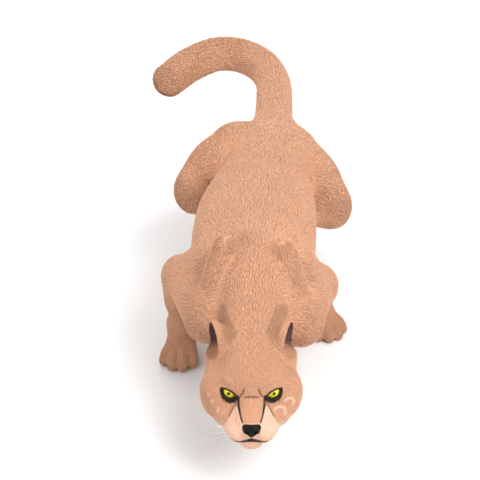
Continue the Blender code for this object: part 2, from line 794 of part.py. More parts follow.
def head_pieces():
    centre = on_head(0.0, -0.03, 0.0)
    low, high = centre - vec(0.17, 0.18, 0.16), centre + vec(0.17, 0.18, 0.22)
    head = flesh_object("head", low, high, 0.0025, HEAD_TRIANGLES)
    cut(head, neck_slab().as_object(-GAP / 2), "INTERSECT")
    pieces = [head]
    for name, sign in SIDES.items():
        pieces.append(part_off(head, "ear_" + name, ear_slab(sign)))
        cut(head, eyeball("cutter", eye_place(sign), EYE_RADIUS + 2 * GAP), "DIFFERENCE")
        pieces.append(eyeball("eye_" + name, eye_place(sign), EYE_RADIUS))
    nose = copy_of(head, "nose")
    cut(nose, nose_cutter(-GAP / 2), "INTERSECT")
    cut(head, nose_cutter(GAP / 2), "DIFFERENCE")
    return pieces + [nose]


def dress(piece):
    """Give the piece its own material and smooth shading, with the cut faces left sharp."""
    kind = piece.name.split("_")[0]
    colour, roughness = COLOURS.get(kind, COLOURS["coat"])
    material = bpy.data.materials.new(piece.name)
    material.use_nodes = True
    shader = material.node_tree.nodes["Principled BSDF"]
    shader.inputs["Base Color"].default_value = (*colour, 1.0)
    shader.inputs["Roughness"].default_value = roughness
    piece.data.materials.clear()
    piece.data.materials.append(material)
    piece.data.name = piece.name
    piece.data.shade_smooth()
    piece.data.set_sharp_from_angle(angle=math.radians(55.0))


def centre_on_floor(pieces):
    """Move everything so that the middle of the whole box stands over the origin."""
    corners = np.array([vertex.co[:] for piece in pieces for vertex in piece.data.vertices])
    shift = -(corners.min(axis=0) + corners.max(axis=0)) / 2
    for piece in pieces:
        piece.data.transform(Matrix.Translation((shift[0], shift[1], 0.0)))


def main():
    clear_scene()
    pieces = body_pieces() + foot_pieces() + head_pieces()
    for piece in pieces:
        dress(piece)
    centre_on_floor(pieces)


if __name__ == "__main__":
    main()
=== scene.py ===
"""The looks of a life-size cougar in a low stalk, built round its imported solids.

One skin takes the place of the solids' flesh, and lies inside them by the depth of the coat. A coat of
thin tufts covers it. The eyes, the nose and the whiskers are pieces of their own. Shapes are worked out
where the skeleton was designed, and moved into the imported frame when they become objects. All in metres,
with +Z up, facing -Y.
"""

import json
import math

import bpy
import numpy as np
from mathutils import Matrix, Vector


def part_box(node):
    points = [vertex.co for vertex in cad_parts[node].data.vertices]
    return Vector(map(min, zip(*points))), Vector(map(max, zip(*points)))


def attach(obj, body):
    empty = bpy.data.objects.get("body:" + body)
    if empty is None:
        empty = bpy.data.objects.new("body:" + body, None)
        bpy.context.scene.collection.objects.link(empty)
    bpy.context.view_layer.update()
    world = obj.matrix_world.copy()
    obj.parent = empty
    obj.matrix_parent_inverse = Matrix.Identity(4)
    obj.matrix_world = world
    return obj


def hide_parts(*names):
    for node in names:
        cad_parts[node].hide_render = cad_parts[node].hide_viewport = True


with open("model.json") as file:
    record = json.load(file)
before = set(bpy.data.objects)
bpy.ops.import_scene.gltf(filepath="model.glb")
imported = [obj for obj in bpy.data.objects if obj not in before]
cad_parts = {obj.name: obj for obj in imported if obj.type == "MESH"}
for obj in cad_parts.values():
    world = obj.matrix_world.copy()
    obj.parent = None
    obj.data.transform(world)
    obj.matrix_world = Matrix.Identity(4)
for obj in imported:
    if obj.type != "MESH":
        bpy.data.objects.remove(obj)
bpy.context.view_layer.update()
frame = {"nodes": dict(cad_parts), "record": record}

import openvdb
from mathutils import Matrix, Vector, kdtree, noise

bl_info = {
    "name": "Cougar looks",
    "version": (1, 0, 0),
    "blender": (4, 5, 0),
    "location": "3D View > Sidebar > Cougar",
    "description": "Builds the skin, coat, eyes, nose, whiskers and stage of a life-size cougar",
    "category": "Object",
}

MOST_TRIANGLES = 190000

# Driving dimensions, in metres and degrees
RUMP_HEIGHT = 0.428
BACK_HEIGHT = 0.408
CHEST_FLOOR = 0.146
BELLY_FLOOR = 0.180
RIB_HALF_WIDTH = 0.155
HIP_HALF_WIDTH = 0.122
NECK_RADIUS = 0.086
TAIL_RADIUS = 0.054
HEAD_SIZE = 1.22
EYE_RADIUS = 0.0185
HEAD_PITCH = 12.0
PAD_HEIGHT = 0.024

# Joints of the skeleton: (distance from the middle plane, Y, Z)
HEAD_CENTRE = Vector((-0.0085, -0.545, 0.228))
FORE = {
    "left": {
        "blade": (0.072, -0.258, 0.392),
        "shoulder": (0.109, -0.324, 0.252),
        "elbow": (0.162, -0.142, 0.217),
        "wrist": (0.172, 0.000, 0.078),
        "paw": (0.186, -0.030, PAD_HEIGHT),
        "turn_out": 28.0,
    },
    "right": {
        "blade": (0.072, -0.246, 0.396),
        "shoulder": (0.109, -0.318, 0.256),
        "elbow": (0.181, -0.114, 0.226),
        "wrist": (0.185, -0.104, 0.076),
        "paw": (0.184, -0.147, PAD_HEIGHT),
        "turn_out": 8.0,
    },
}
HIND = {
    "left": {
        "hip": (0.062, 0.326, 0.320),
        "knee": (0.212, 0.200, 0.244),
        "hock": (0.146, 0.385, 0.108),
        "paw": (0.120, 0.272, PAD_HEIGHT),
        "turn_out": 8.0,
    },
    "right": {
        "hip": (0.107, 0.342, 0.336),
        "knee": (0.156, 0.248, 0.263),
        "hock": (0.090, 0.418, 0.130),
        "paw": (0.068, 0.330, PAD_HEIGHT),
        "turn_out": 4.0,
    },
}
FORE_JOINTS = ("blade", "shoulder", "elbow", "wrist", "paw")
HIND_JOINTS = ("hip", "knee", "hock", "paw")
SIDES = {"left": 1.0, "right": -1.0}

# The deepest that the volume counts, how many cells a side it is sampled in at once, and where the head's
# finer skin begins, forward of the eyes
FAR = 0.06
BLOCK = 20
HEAD_SEAM = -0.130
SEAM_LAP = 0.004

# The grids of the body's and the head's skin reach between these corners, and the nose's this far from its
# middle
BODY_GRID = ((-0.32, -0.56, -0.012), (0.30, 0.94, 0.46))
HEAD_GRID = ((-0.19, -0.70, 0.08), (0.17, -0.38, 0.40))
NOSE_GRID_HALF = 0.040

# What the camera looks at, and how far the floor lies under the soles
CAMERA_AIM = (-0.033, 0.060, 0.222)
FLOOR_DROP = 0.0004


def vec(*values):
    return np.array(values, float)


UP = vec(0.0, 0.0, 1.0)
BACK = vec(0.0, 1.0, 0.0)


def unit(direction):
    direction = np.asarray(direction, float)
    return direction / np.linalg.norm(direction)


def unit_rows(rows, least=1e-12):
    return rows / np.maximum(np.linalg.norm(rows, axis=1), least)[:, None]


def sway(y):
    """How far the spine has swung to the cougar's left at this Y."""
    share = min(max((y + 0.08) / 0.52, 0.0), 1.0)
    return 0.062 * share * share * (3.0 - 2.0 * share)


class Form:
    """A soft solid. depth(x, y, z) is negative inside, and nothing of it lies outside low to high."""

    def __init__(self, depth, low, high, blend, hollow=False):
        self.depth = depth
        self.low = np.asarray(low, float)
        self.high = np.asarray(high, float)
        self.blend = blend
        self.hollow = hollow

    def added_to(self, total, x, y, z):
        depth = self.depth(x, y, z)
        if self.hollow:
            depth = -depth
            soft = np.maximum(self.blend - np.abs(total - depth), 0.0)
            return np.maximum(total, depth) + soft * soft / (4.0 * self.blend)
        soft = np.maximum(self.blend - np.abs(total - depth), 0.0)
        return np.minimum(total, depth) - soft * soft / (4.0 * self.blend)


def ball(centre, radii, axes=None, blend=0.02, hollow=False):
    """An ellipsoid. The rows of axes are the directions of its three radii."""
    centre = np.asarray(centre, float)
    axes = np.eye(3) if axes is None else np.asarray(axes, float)
    radii = np.asarray(radii, float)
    reach = np.sqrt(((axes * radii[:, None]) ** 2).sum(axis=0))

    def depth(x, y, z):
        x, y, z = x - centre[0], y - centre[1], z - centre[2]
        along = [a[0] * x + a[1] * y + a[2] * z for a in axes]
        near = np.sqrt(sum((p / r) ** 2 for p, r in zip(along, radii)))
        slope = np.sqrt(sum((p / (r * r)) ** 2 for p, r in zip(along, radii)))
        return near * (near - 1.0) / np.maximum(slope, 1e-6)

    return Form(depth, centre - reach, centre + reach, blend, hollow)


def chain(stations, side=(1.0, 0.0, 0.0), blend=0.02, hollow=False):
    """A tube through stations of (centre, half width along side, half depth across it)."""
    points = [np.asarray(s[0], float) for s in stations]
    widths = [s[1] for s in stations]
    depths = [s[2] for s in stations]
    most = max(widths + depths)
    links = []
    for k in range(len(points) - 1):
        run = points[k + 1] - points[k]
        length = np.linalg.norm(run)
        axis = run / length
        across = unit(np.asarray(side, float) - np.dot(side, axis) * axis)
        links.append((points[k], axis, length, across, np.cross(axis, across), k))

    def depth(x, y, z):
        nearest = None
        for start, axis, length, across, third, k in links:
            px, py, pz = x - start[0], y - start[1], z - start[2]
            along = px * axis[0] + py * axis[1] + pz * axis[2]
            share = np.clip(along / length, 0.0, 1.0)
            over = along - share * length
            u = px * across[0] + py * across[1] + pz * across[2]
            v = px * third[0] + py * third[1] + pz * third[2]
            wide = widths[k] + (widths[k + 1] - widths[k]) * share
            deep = depths[k] + (depths[k + 1] - depths[k]) * share
            radius = np.sqrt(u * u + v * v + over * over)
            scaled = np.sqrt((u / wide) ** 2 + (v / deep) ** 2 + (over * 2.0 / (wide + deep)) ** 2)
            found = radius - radius / np.maximum(scaled, 1e-6)
            nearest = found if nearest is None else np.minimum(nearest, found)
        return nearest

    low = np.min(points, axis=0) - most
    high = np.max(points, axis=0) + most
    return Form(depth, low, high, blend, hollow)


def eased(stations, steps=3):
    """The stations with smooth steps added between them, so that a chain bends and swells evenly."""
    rows = np.array([[*s[0], *s[1:]] for s in stations], float)
    padded = np.vstack([2 * rows[0] - rows[1], rows, 2 * rows[-1] - rows[-2]])
    smooth = []
    for k in range(1, len(padded) - 2):
        before, start, end, after = padded[k - 1 : k + 3]
        for step in range(steps):
            t = step / steps
            slope_in = (end - before) / 2.0
            slope_out = (after - start) / 2.0
            smooth.append(
                start * (2 * t**3 - 3 * t**2 + 1)
                + slope_in * (t**3 - 2 * t**2 + t)
                + end * (3 * t**2 - 2 * t**3)
                + slope_out * (t**3 - t**2)
            )
    smooth.append(rows[-1])
    return [(row[:3], *row[3:]) for row in smooth]


def limb(start, end, start_radius, end_radius, flat=1.0, side=(1.0, 0.0, 0.0), blend=0.02):
    """A tapered length of a leg. flat is its thickness along side as a share of its depth."""
    ends = [(start, start_radius * flat, start_radius), (end, end_radius * flat, end_radius)]
    return chain(ends, side, blend)


def trunk_forms():
    """Ribcage, belly, loin and rump. Each station has its Y, top, bottom and half width."""
    profile = [
        (0.428, RUMP_HEIGHT - 0.050, 0.290, 0.056),
        (0.378, RUMP_HEIGHT - 0.016, 0.250, 0.088),
        (0.295, RUMP_HEIGHT, 0.226, HIP_HALF_WIDTH),
        (0.180, RUMP_HEIGHT - 0.010, 0.204, 0.130),
        (0.055, BACK_HEIGHT + 0.008, BELLY_FLOOR, 0.153),
        (-0.070, BACK_HEIGHT, CHEST_FLOOR + 0.014, RIB_HALF_WIDTH),
        (-0.180, BACK_HEIGHT - 0.002, CHEST_FLOOR, 0.142),
        (-0.260, BACK_HEIGHT - 0.020, CHEST_FLOOR + 0.014, 0.116),
        (-0.322, BACK_HEIGHT - 0.056, CHEST_FLOOR + 0.044, 0.092),
    ]
    stations = [((sway(y), y, (top + low) / 2), half, (top - low) / 2) for y, top, low, half in profile]
    return [chain(eased(stations, 5), blend=0.03)]


def neck_forms():
    stations = [
        ((0.0, -0.240, 0.322), NECK_RADIUS + 0.010, NECK_RADIUS + 0.014),
        ((0.0, -0.325, 0.296), NECK_RADIUS + 0.002, NECK_RADIUS + 0.006),
        ((-0.004, -0.395, 0.264), NECK_RADIUS - 0.006, NECK_RADIUS - 0.004),
        ((-0.008, -0.460, 0.242), NECK_RADIUS - 0.012, NECK_RADIUS - 0.014),
    ]
    return [chain(eased(stations, 5), blend=0.035)]


def tail_stations():
    """The tail hangs behind the rump, then hooks to the cougar's right and turns its tip forward."""
    route = [
        (0.058, 0.372, 0.362),
        (0.062, 0.470, 0.366),
        (0.067, 0.580, 0.366),
        (0.066, 0.700, 0.370),
        (0.036, 0.798, 0.378),
        (-0.028, 0.860, 0.386),
        (-0.108, 0.866, 0.388),
        (-0.188, 0.804, 0.380),
        (-0.244, 0.724, 0.370),
    ]
    swell = [0.006, 0.001, 0.0, -0.001, 0.0, 0.0, 0.0, 0.0, -0.002]
    return eased([(place, TAIL_RADIUS + more, TAIL_RADIUS + more) for place, more in zip(route, swell)], 4)


def tail_forms():
    return [chain(tail_stations(), side=(0.0, 0.0, 1.0), blend=0.03)]


def joint_places(joints, names, sign):
    """The points of the named joints, which are given as (distance from the middle plane, Y, Z)."""
    return [vec(sign * joints[name][0], *joints[name][1:]) for name in names]


# The toes: how far out as a share, how far forward, and how many degrees they fan out
TOES = ((-1.0, 0.020, -12), (-0.36, 0.037, -4), (0.36, 0.037, 4), (1.0, 0.020, 12))
TOE_SPREAD = 0.0325


def paw_forms(centre, sign, turn_out, size):
    """Palm and four toes. size is 1 for a front paw."""
    turn = math.radians(turn_out) * sign
    ahead = vec(math.sin(turn), -math.cos(turn), 0.0)
    out = vec(math.cos(turn), math.sin(turn), 0.0)
    axes = np.array([out, ahead, UP])
    forms = [
        ball(centre - 0.016 * size * ahead + 0.008 * UP, vec(0.036, 0.044, 0.033) * size, axes, 0.016),
        ball(centre + 0.010 * size * ahead + 0.004 * UP, vec(0.041, 0.030, 0.027) * size, axes, 0.012),
    ]
    for lateral, forward, fan in TOES:
        spread = math.radians(fan)
        toe_ahead = ahead * math.cos(spread) + out * math.sin(spread)
        toe_axes = np.array([np.cross(toe_ahead, UP), toe_ahead, UP])
        knuckle = centre + size * (TOE_SPREAD * lateral * out + forward * ahead) - 0.002 * UP
        tip = knuckle + 0.015 * size * toe_ahead - 0.008 * UP
        forms.append(ball(knuckle, vec(0.0150, 0.026, 0.0235) * size, toe_axes, 0.006))
        forms.append(ball(tip, vec(0.0135, 0.017, 0.0185) * size, toe_axes, 0.006))
    return forms


def foreleg_forms(name):
    sign = SIDES[name]
    joints = FORE[name]
    blade, shoulder, elbow, wrist, paw = joint_places(joints, FORE_JOINTS, sign)
    out = vec(sign, 0.0, 0.0)
    armpit = blade + 0.050 * BACK - 0.085 * UP + 0.026 * out
    dewclaw = wrist - 0.026 * out - 0.012 * UP - 0.014 * BACK
    forms = [
        limb(blade, shoulder - 0.006 * out, 0.040, 0.066, 0.66, out, 0.026),
        limb(blade + 0.004 * UP, blade + 0.3 * (shoulder - blade), 0.022, 0.030, 0.6, out, 0.014),
        limb(shoulder, elbow, 0.062, 0.046, 0.88, out, 0.026),
        limb(armpit, elbow + 0.010 * UP, 0.060, 0.042, 0.72, out, 0.03),
        ball(elbow + 0.022 * BACK + 0.016 * UP, (0.019, 0.022, 0.020), None, 0.02),
        limb(elbow, elbow + 0.45 * (wrist - elbow), 0.045, 0.041, 0.92, out, 0.02),
        limb(elbow + 0.3 * (wrist - elbow), wrist, 0.039, 0.028, 1.0, out, 0.02),
        ball(wrist, (0.031, 0.030, 0.030), None, 0.014),
        limb(wrist, paw + 0.010 * UP, 0.029, 0.032, 1.1, out, 0.016),
        ball(dewclaw, (0.009, 0.010, 0.014), None, 0.006),
    ]
    return forms + paw_forms(paw, sign, joints["turn_out"], 1.0)


def thigh_forms(hip, knee, sign):
    """The muscle that rounds the thigh's outside, and the fold of skin from the flank to the knee."""
    out = vec(sign, 0.0, 0.0)
    run = unit(knee - hip)
    across = unit(out - np.dot(out, run) * run)
    axes = np.array([run, across, np.cross(run, across)])
    muscle = hip + 0.48 * (knee - hip) + 0.008 * across + vec(0.0, 0.0, 0.008)
    flank = vec(sway(0.12) + sign * 0.062, 0.120, 0.232)
    return [
        ball(muscle, (0.086, 0.062, 0.074), axes, 0.03),
        limb(flank, knee - vec(0.0, 0.012, 0.014), 0.026, 0.032, 0.9, out, 0.035),
    ]


def hindleg_forms(name):
    sign = SIDES[name]
    joints = HIND[name]
    hip, knee, hock, paw = joint_places(joints, HIND_JOINTS, sign)
    hip = hip + vec(sway(hip[1]), 0.0, 0.0)
    out = vec(sign, 0.0, 0.0)
    seat = hip + 0.050 * BACK - 0.030 * UP - 0.010 * out
    calf = knee + 0.34 * (hock - knee)
    forms = [
        limb(hip, knee, 0.084, 0.060, 0.72, out, 0.035),
        limb(seat, calf + 0.012 * UP, 0.066, 0.050, 0.70, out, 0.035),
        limb(hip + 0.010 * UP, knee + 0.020 * UP + 0.012 * BACK, 0.070, 0.052, 0.8, out, 0.03),
        ball(knee + 0.004 * out - 0.006 * UP, (0.040, 0.044, 0.046), None, 0.024),
        limb(knee, calf, 0.056, 0.047, 0.84, out, 0.024),
        limb(calf, hock, 0.044, 0.024, 0.86, out, 0.022),
        ball(hock + 0.014 * BACK + 0.006 * UP, (0.019, 0.022, 0.026), None, 0.014),
        ball(hock, (0.026, 0.030, 0.028), None, 0.016),
        limb(hock, paw + 0.010 * UP, 0.026, 0.029, 1.0, out, 0.016),
    ]
    return forms + thigh_forms(hip, knee, sign) + paw_forms(paw, sign, joints["turn_out"], 0.90)


def head_axes():
    """The head's own directions, as rows: to its left, forward and up."""
    pitch = math.radians(HEAD_PITCH)
    along, rise = math.cos(pitch), math.sin(pitch)
    return np.array([[1.0, 0.0, 0.0], [0.0, -along, rise], [0.0, rise, along]])


def on_head(x, forward, up):
    """The world point of a place on the head, measured from midway between the eyes."""
    return np.array(HEAD_CENTRE) + HEAD_SIZE * vec(x, forward, up) @ head_axes()


def turned(yaw=0.0, pitch=0.0, roll=0.0):
    """The head's directions, turned about its up, side and forward axes in degrees, as rows."""
    spin = Matrix.Identity(3)
    for angle, axis in ((yaw, "Z"), (pitch, "X"), (roll, "Y")):
        spin = spin @ Matrix.Rotation(math.radians(angle), 3, axis)
    return np.array(spin).T @ head_axes()


def head_ball(place, radii, blend, yaw=0.0, pitch=0.0, roll=0.0, hollow=False):
    """A ball on the head. Yaw turns its front left, pitch tips it up and roll leans it left, in degrees."""
    return ball(on_head(*place), HEAD_SIZE * vec(*radii), turned(yaw, pitch, roll), blend, hollow)


def head_chain(stations, blend, hollow=False):
    """A chain on the head through stations of (x, forward, up, half width, half depth)."""
    placed = [(on_head(*row[:3]), HEAD_SIZE * row[3], HEAD_SIZE * row[4]) for row in stations]
    return chain(placed, head_axes()[0], blend, hollow)


def skull_forms():
    """Braincase, forehead, bridge of the nose and the muzzle's root."""
    bridge = [
        (0, -0.006, -0.006, 0.030, 0.022),
        (0, 0.027, -0.021, 0.0260, 0.020),
        (0, 0.055, -0.0345, 0.0210, 0.0160),
    ]
    return [
        head_ball((0, -0.058, -0.004), (0.068, 0.082, 0.060), 0.02),
        head_ball((0, -0.020, 0.010), (0.052, 0.036, 0.028), 0.02),
        head_chain(bridge, 0.014),
        head_ball((0, 0.022, -0.0485), (0.039, 0.043, 0.032), 0.020),
    ]


def cheek_forms(sign):
    """Cheekbone, cheek, the head's side under the ear, side of the muzzle, and jaw."""
    jaw = [(sign * 0.022, 0.008, -0.073, 0.018, 0.018), (sign * 0.042, -0.056, -0.050, 0.026, 0.030)]
    return [
        head_ball((sign * 0.053, -0.042, -0.014), (0.034, 0.048, 0.036), 0.026, yaw=-sign * 14),
        head_ball((sign * 0.053, -0.046, -0.0335), (0.0375, 0.052, 0.0455), 0.028),
        head_ball((sign * 0.066, -0.080, 0.024), (0.019, 0.024, 0.026), 0.020),
        head_ball((sign * 0.038, -0.006, -0.041), (0.026, 0.040, 0.030), 0.026, yaw=-sign * 24),
        head_chain(jaw, 0.022),
    ]


def brow_forms(sign):
    place = (sign * 0.028, 0.000, 0.0165)
    return [head_ball(place, (0.021, 0.015, 0.0080), 0.010, yaw=-sign * 22, roll=-sign * 18)]


def eye_place(sign):
    return on_head(sign * 0.0355, -0.0015, -0.001)


def eye_turn(sign):
    """The eye looks a little outward, and its corners slant down towards the nose."""
    return turned(yaw=-sign * 18, pitch=2, roll=-sign * 20)


def lid_forms(sign):
    """The mound of the lids over the eyeball, and the slit between them."""
    place = eye_place(sign)
    axes = eye_turn(sign)
    look = axes[1]
    mound = ball(place + 0.001 * look, vec(1, 1, 1) * (EYE_RADIUS + 0.0030), axes, 0.008)
    corner = ball(place + look * 0.007 - sign * axes[0] * 0.0185, vec(0.008, 0.009, 0.005), axes, 0.006)
    return [mound, corner, lid_slit(place + look * EYE_RADIUS, axes)]


def lid_slit(centre, axes):
    """An almond: what two circles share, one above the other, cut back into the lids."""
    half_width, upper, lower, deep = 0.0180, 0.0066, 0.0112, 0.013
    discs = []
    for height, sign in ((upper, -1.0), (lower, 1.0)):
        radius = (half_width**2 + height**2) / (2 * height)
        middle = centre + sign * (radius - height) * axes[2]
        discs.append(ball(middle, (radius, deep * radius / half_width, radius), axes))

    def depth(x, y, z):
        return np.maximum(discs[0].depth(x, y, z), discs[1].depth(x, y, z))

    return Form(depth, centre - 0.02, centre + 0.02, 0.002, hollow=True)


def muzzle_forms(sign):
    """The whisker pad, and what carries it back into the cheek."""
    return [
        head_ball((sign * 0.0205, 0.046, -0.0535), (0.0205, 0.0250, 0.0185), 0.007, yaw=-sign * 14),
        head_ball((sign * 0.030, 0.024, -0.0525), (0.017, 0.029, 0.0205), 0.014, yaw=-sign * 18),
    ]


def chin_forms():
    stations = [
        (0, 0.0408, -0.0788, 0.0215, 0.0142),
        (0, 0.0180, -0.0785, 0.0340, 0.0162),
        (0, -0.0120, -0.0755, 0.0410, 0.0200),
    ]
    return [head_chain(stations, 0.0025)]


# The line of the mouth, from the middle to the left corner: (x, forward, up)
MOUTH_LINE = (
    (0.000, 0.0580, -0.0682),
    (0.012, 0.0580, -0.0702),
    (0.024, 0.0530, -0.0731),
    (0.035, 0.0385, -0.0740),
    (0.043, 0.0225, -0.0716),
    (0.047, 0.0090, -0.0673),
)

# The lip, then the sunk line: how far up and forward of MOUTH_LINE, the radius, and whether it is sunk
LIP_AND_LINE = ((-0.0038, -0.0052, 0.0030, False), (-0.0004, 0.0005, 0.0014, True))


def mouth_forms(sign):
    """The thin lower lip, and the line of the mouth sunk above it, from the middle to one corner."""
    forms = []
    for rise, ahead, radius, hollow in LIP_AND_LINE:
        stations = [(sign * x, forward + ahead, up + rise, radius, radius) for x, forward, up in MOUTH_LINE]
        forms.append(head_chain(stations, 0.0030, hollow))
    return forms


def nose_forms():
    """The nose pad, and on each side its wing, nostril and the slit beside the nostril."""
    forms = [
        head_ball((0, 0.0670, -0.0400), (0.0138, 0.0100, 0.0100), 0.004),
        head_ball((0, 0.0695, -0.0480), (0.0070, 0.0065, 0.0065), 0.004),
    ]
    for sign in SIDES.values():
        slit = (sign * 0.0128, 0.0720, -0.0424)
        forms += [
            head_ball((sign * 0.0098, 0.0675, -0.0418), (0.0066, 0.0085, 0.0064), 0.003),
            head_ball((sign * 0.0074, 0.0760, -0.0442), (0.0034, 0.0070, 0.0026), 0.0012, hollow=True),
            head_ball(slit, (0.0045, 0.0046, 0.0016), 0.0012, roll=-sign * 25, hollow=True),
        ]
    return forms


def ear_frame(sign):
    """The root of an ear, and its directions: across it, the way it opens, and up to its tip."""
    tip = unit(vec(sign * 0.20, -0.18, 0.95) @ head_axes())
    opens = vec(sign * 0.96, 0.28, 0.0) @ head_axes()
    opens = unit(opens - np.dot(opens, tip) * tip)
    return on_head(sign * 0.056, -0.070, 0.040), np.array([np.cross(opens, tip), opens, tip])


def ear_forms(sign):
    """The shell of an ear, and the cup sunk into it."""
    root, axes = ear_frame(sign)
    _, opens, tip = axes * HEAD_SIZE
    cup = root + 0.024 * tip + 0.0130 * opens
    return [
        ball(root + 0.022 * tip, HEAD_SIZE * vec(0.0325, 0.0195, 0.0385), axes, 0.010),
        ball(cup, HEAD_SIZE * vec(0.0288, 0.0265, 0.0343), axes, 0.003, hollow=True),
    ]


def head_forms():
    forms = skull_forms()
    for sign in SIDES.values():
        forms += cheek_forms(sign)
    for sign in SIDES.values():
        forms += brow_forms(sign) + muzzle_forms(sign)
    forms += chin_forms() + nose_forms()
    for sign in SIDES.values():
        forms += mouth_forms(sign) + lid_forms(sign) + ear_forms(sign)
    return forms


def body_forms():
    forms = trunk_forms() + neck_forms() + tail_forms()
    for name in SIDES:
        forms += foreleg_forms(name) + hindleg_forms(name)
    return forms + head_forms()


def depth_at(forms, x, y, z, low, high):
    """Depth of the fused forms at points that all lie between low and high."""
    total = np.full(np.broadcast(x, y, z).shape, FAR)
    for form in forms:
        reach = form.blend + 0.01
        if np.all(form.low - reach < high) and np.all(form.high + reach > low):
            total = form.added_to(total, x, y, z)
    return total


def sampled(forms, low, high, voxel):
    """The fused depth on a grid, worked out only in the blocks that the surface may cross."""
    low = np.asarray(low, float)
    counts = np.ceil((np.asarray(high, float) - low) / voxel).astype(int) + 1
    grid = np.full(counts, FAR, np.float32)
    for i in range(0, counts[0], BLOCK):
        for j in range(0, counts[1], BLOCK):
            for k in range(0, counts[2], BLOCK):
                start = np.array([i, j, k])
                end = np.minimum(start + BLOCK, counts)
                near, far = low + start * voxel, low + (end - 1) * voxel
                middle = (near + far) / 2
                half = np.linalg.norm(far - near) / 2
                probe = depth_at(forms, *(middle[:, None]), middle - half, middle + half)[0]
                window = tuple(slice(a, b) for a, b in zip(start, end))
                if abs(probe) > 1.7 * half + 0.01:
                    grid[window] = math.copysign(FAR, probe)
                    continue
                x, y, z = np.ix_(*(low[a] + np.arange(start[a], end[a]) * voxel for a in range(3)))
                grid[window] = depth_at(forms, x, y, z, near, far)
    return grid


def mesh_of(grid, low, voxel):
    """(points, quads) of the surface where the depth is zero."""
    volume = openvdb.FloatGrid(FAR)
    volume.copyFromArray(np.ascontiguousarray(grid))
    volume.transform = openvdb.createLinearTransform(voxelSize=voxel)
    points, _, quads = volume.convertToPolygons(isovalue=0.0, adaptivity=0.0)
    return points + np.asarray(low, np.float32), quads


# Folds of the face's skin: how dark each is painted (painted shade in its crease, and on the tear groove and
# the groove of the lip their own dark line too), then its stations of (x, forward, up, radius) on the left
# side
FACE_FOLDS = {
    "frown": (0.85, [
        (0.0198, 0.0240, 0.0011, 0.0012),
        (0.0166, 0.0235, 0.0067, 0.0015),
        (0.0133, 0.0222, 0.0133, 0.0009),
    ]),
    "crease": (0.80, [
        (0.0000, 0.0290, 0.0031, 0.0012),
        (0.0062, 0.0288, 0.0026, 0.0011),
        (0.0132, 0.0278, 0.0006, 0.0007),
    ]),
    "tear groove": (0.95, [
        (0.0247, 0.0225, -0.0025, 0.0026),
        (0.0237, 0.0297, -0.0117, 0.0022),
        (0.0222, 0.0393, -0.0160, 0.0014),
        (0.0201, 0.0521, -0.0220, 0.0008),
        (0.0164, 0.0641, -0.0283, 0.0006),
    ]),
    "cheek": (0.0, [
        (0.0360, 0.0190, -0.0120, 0.0012),
        (0.0440, 0.0200, -0.0140, 0.0016),
        (0.0520, 0.0130, -0.0130, 0.0010),
    ]),
    "groove of the lip": (0.90, [
        (0.0, 0.0690, -0.0545, 0.0012),
        (0.0, 0.0635, -0.0610, 0.0014),
        (0.0, 0.0585, -0.0678, 0.0012),
    ]),
    "corner of the mouth": (0.0, [
        (0.0470, 0.0090, -0.0673, 0.0016),
        (0.0510, -0.0020, -0.0600, 0.0018),
        (0.0520, -0.0120, -0.0520, 0.0010),
    ]),
}


def fold_form(name, sign):
    stations = [(sign * x, forward, up, radius, radius) for x, forward, up, radius in FACE_FOLDS[name][1]]
    return head_chain(stations, 0.0030, hollow=True)


def above_floor():
    """Everything under the floor's level, taken away, so that the soles are flat."""
    return Form(lambda x, y, z: z + 0.0 * x + 0.0 * y, (-9, -9, -9), (9, 9, 0), 0.001, hollow=True)


def skin_forms():
    forms = body_forms()
    for sign in SIDES.values():
        forms += [fold_form(name, sign) for name in FACE_FOLDS]
    return forms + [above_floor()]


class Zone:
    """A length of the body, with how deep, long, wide and close its fur is, all in metres."""

    def __init__(self, points, reach, depth, length, width, spacing, source=None, towards=None):
        self.points = np.array(points, float)
        self.reach = reach
        self.values = np.array([depth, length, width, spacing])
        self.source = source
        self.towards = towards

    def near(self, places):
        """(weights, directions of the hair) of the places, by their distance from each stretch."""
        weights = np.zeros(len(places))
        lies = np.zeros((len(places), 3))
        for start, end in zip(self.points[:-1], self.points[1:]):
            run = end - start
            share = np.clip((places - start) @ run / (run @ run), 0.0, 1.0)
            away = np.linalg.norm(places - start - share[:, None] * run, axis=1)
            weight = np.exp(-2.0 * (away / self.reach) ** 2)
            weights += weight
            lies += weight[:, None] * (unit(run) if self.towards is None else self.towards)
        if self.source is not None:
            spread = places - self.source
            lies = spread / np.linalg.norm(spread, axis=1)[:, None] * weights[:, None]
        return weights, lies


def trunk_zones():
    spine = [(sway(y), y, 0.31) for y in (-0.200, -0.060, 0.080, 0.220, 0.360)]
    tail = [place for place, *_ in tail_stations()][::4]
    neck = [(0.0, -0.450, 0.240), (0.0, -0.340, 0.290), (0.0, -0.240, 0.310)]
    return [
        Zone(spine, 0.150, 0.0036, 0.0185, 0.0024, 0.0037),
        Zone(neck, 0.085, 0.0032, 0.0150, 0.0021, 0.0033),
        Zone(tail, 0.050, 0.0048, 0.0200, 0.0026, 0.0039),
    ]


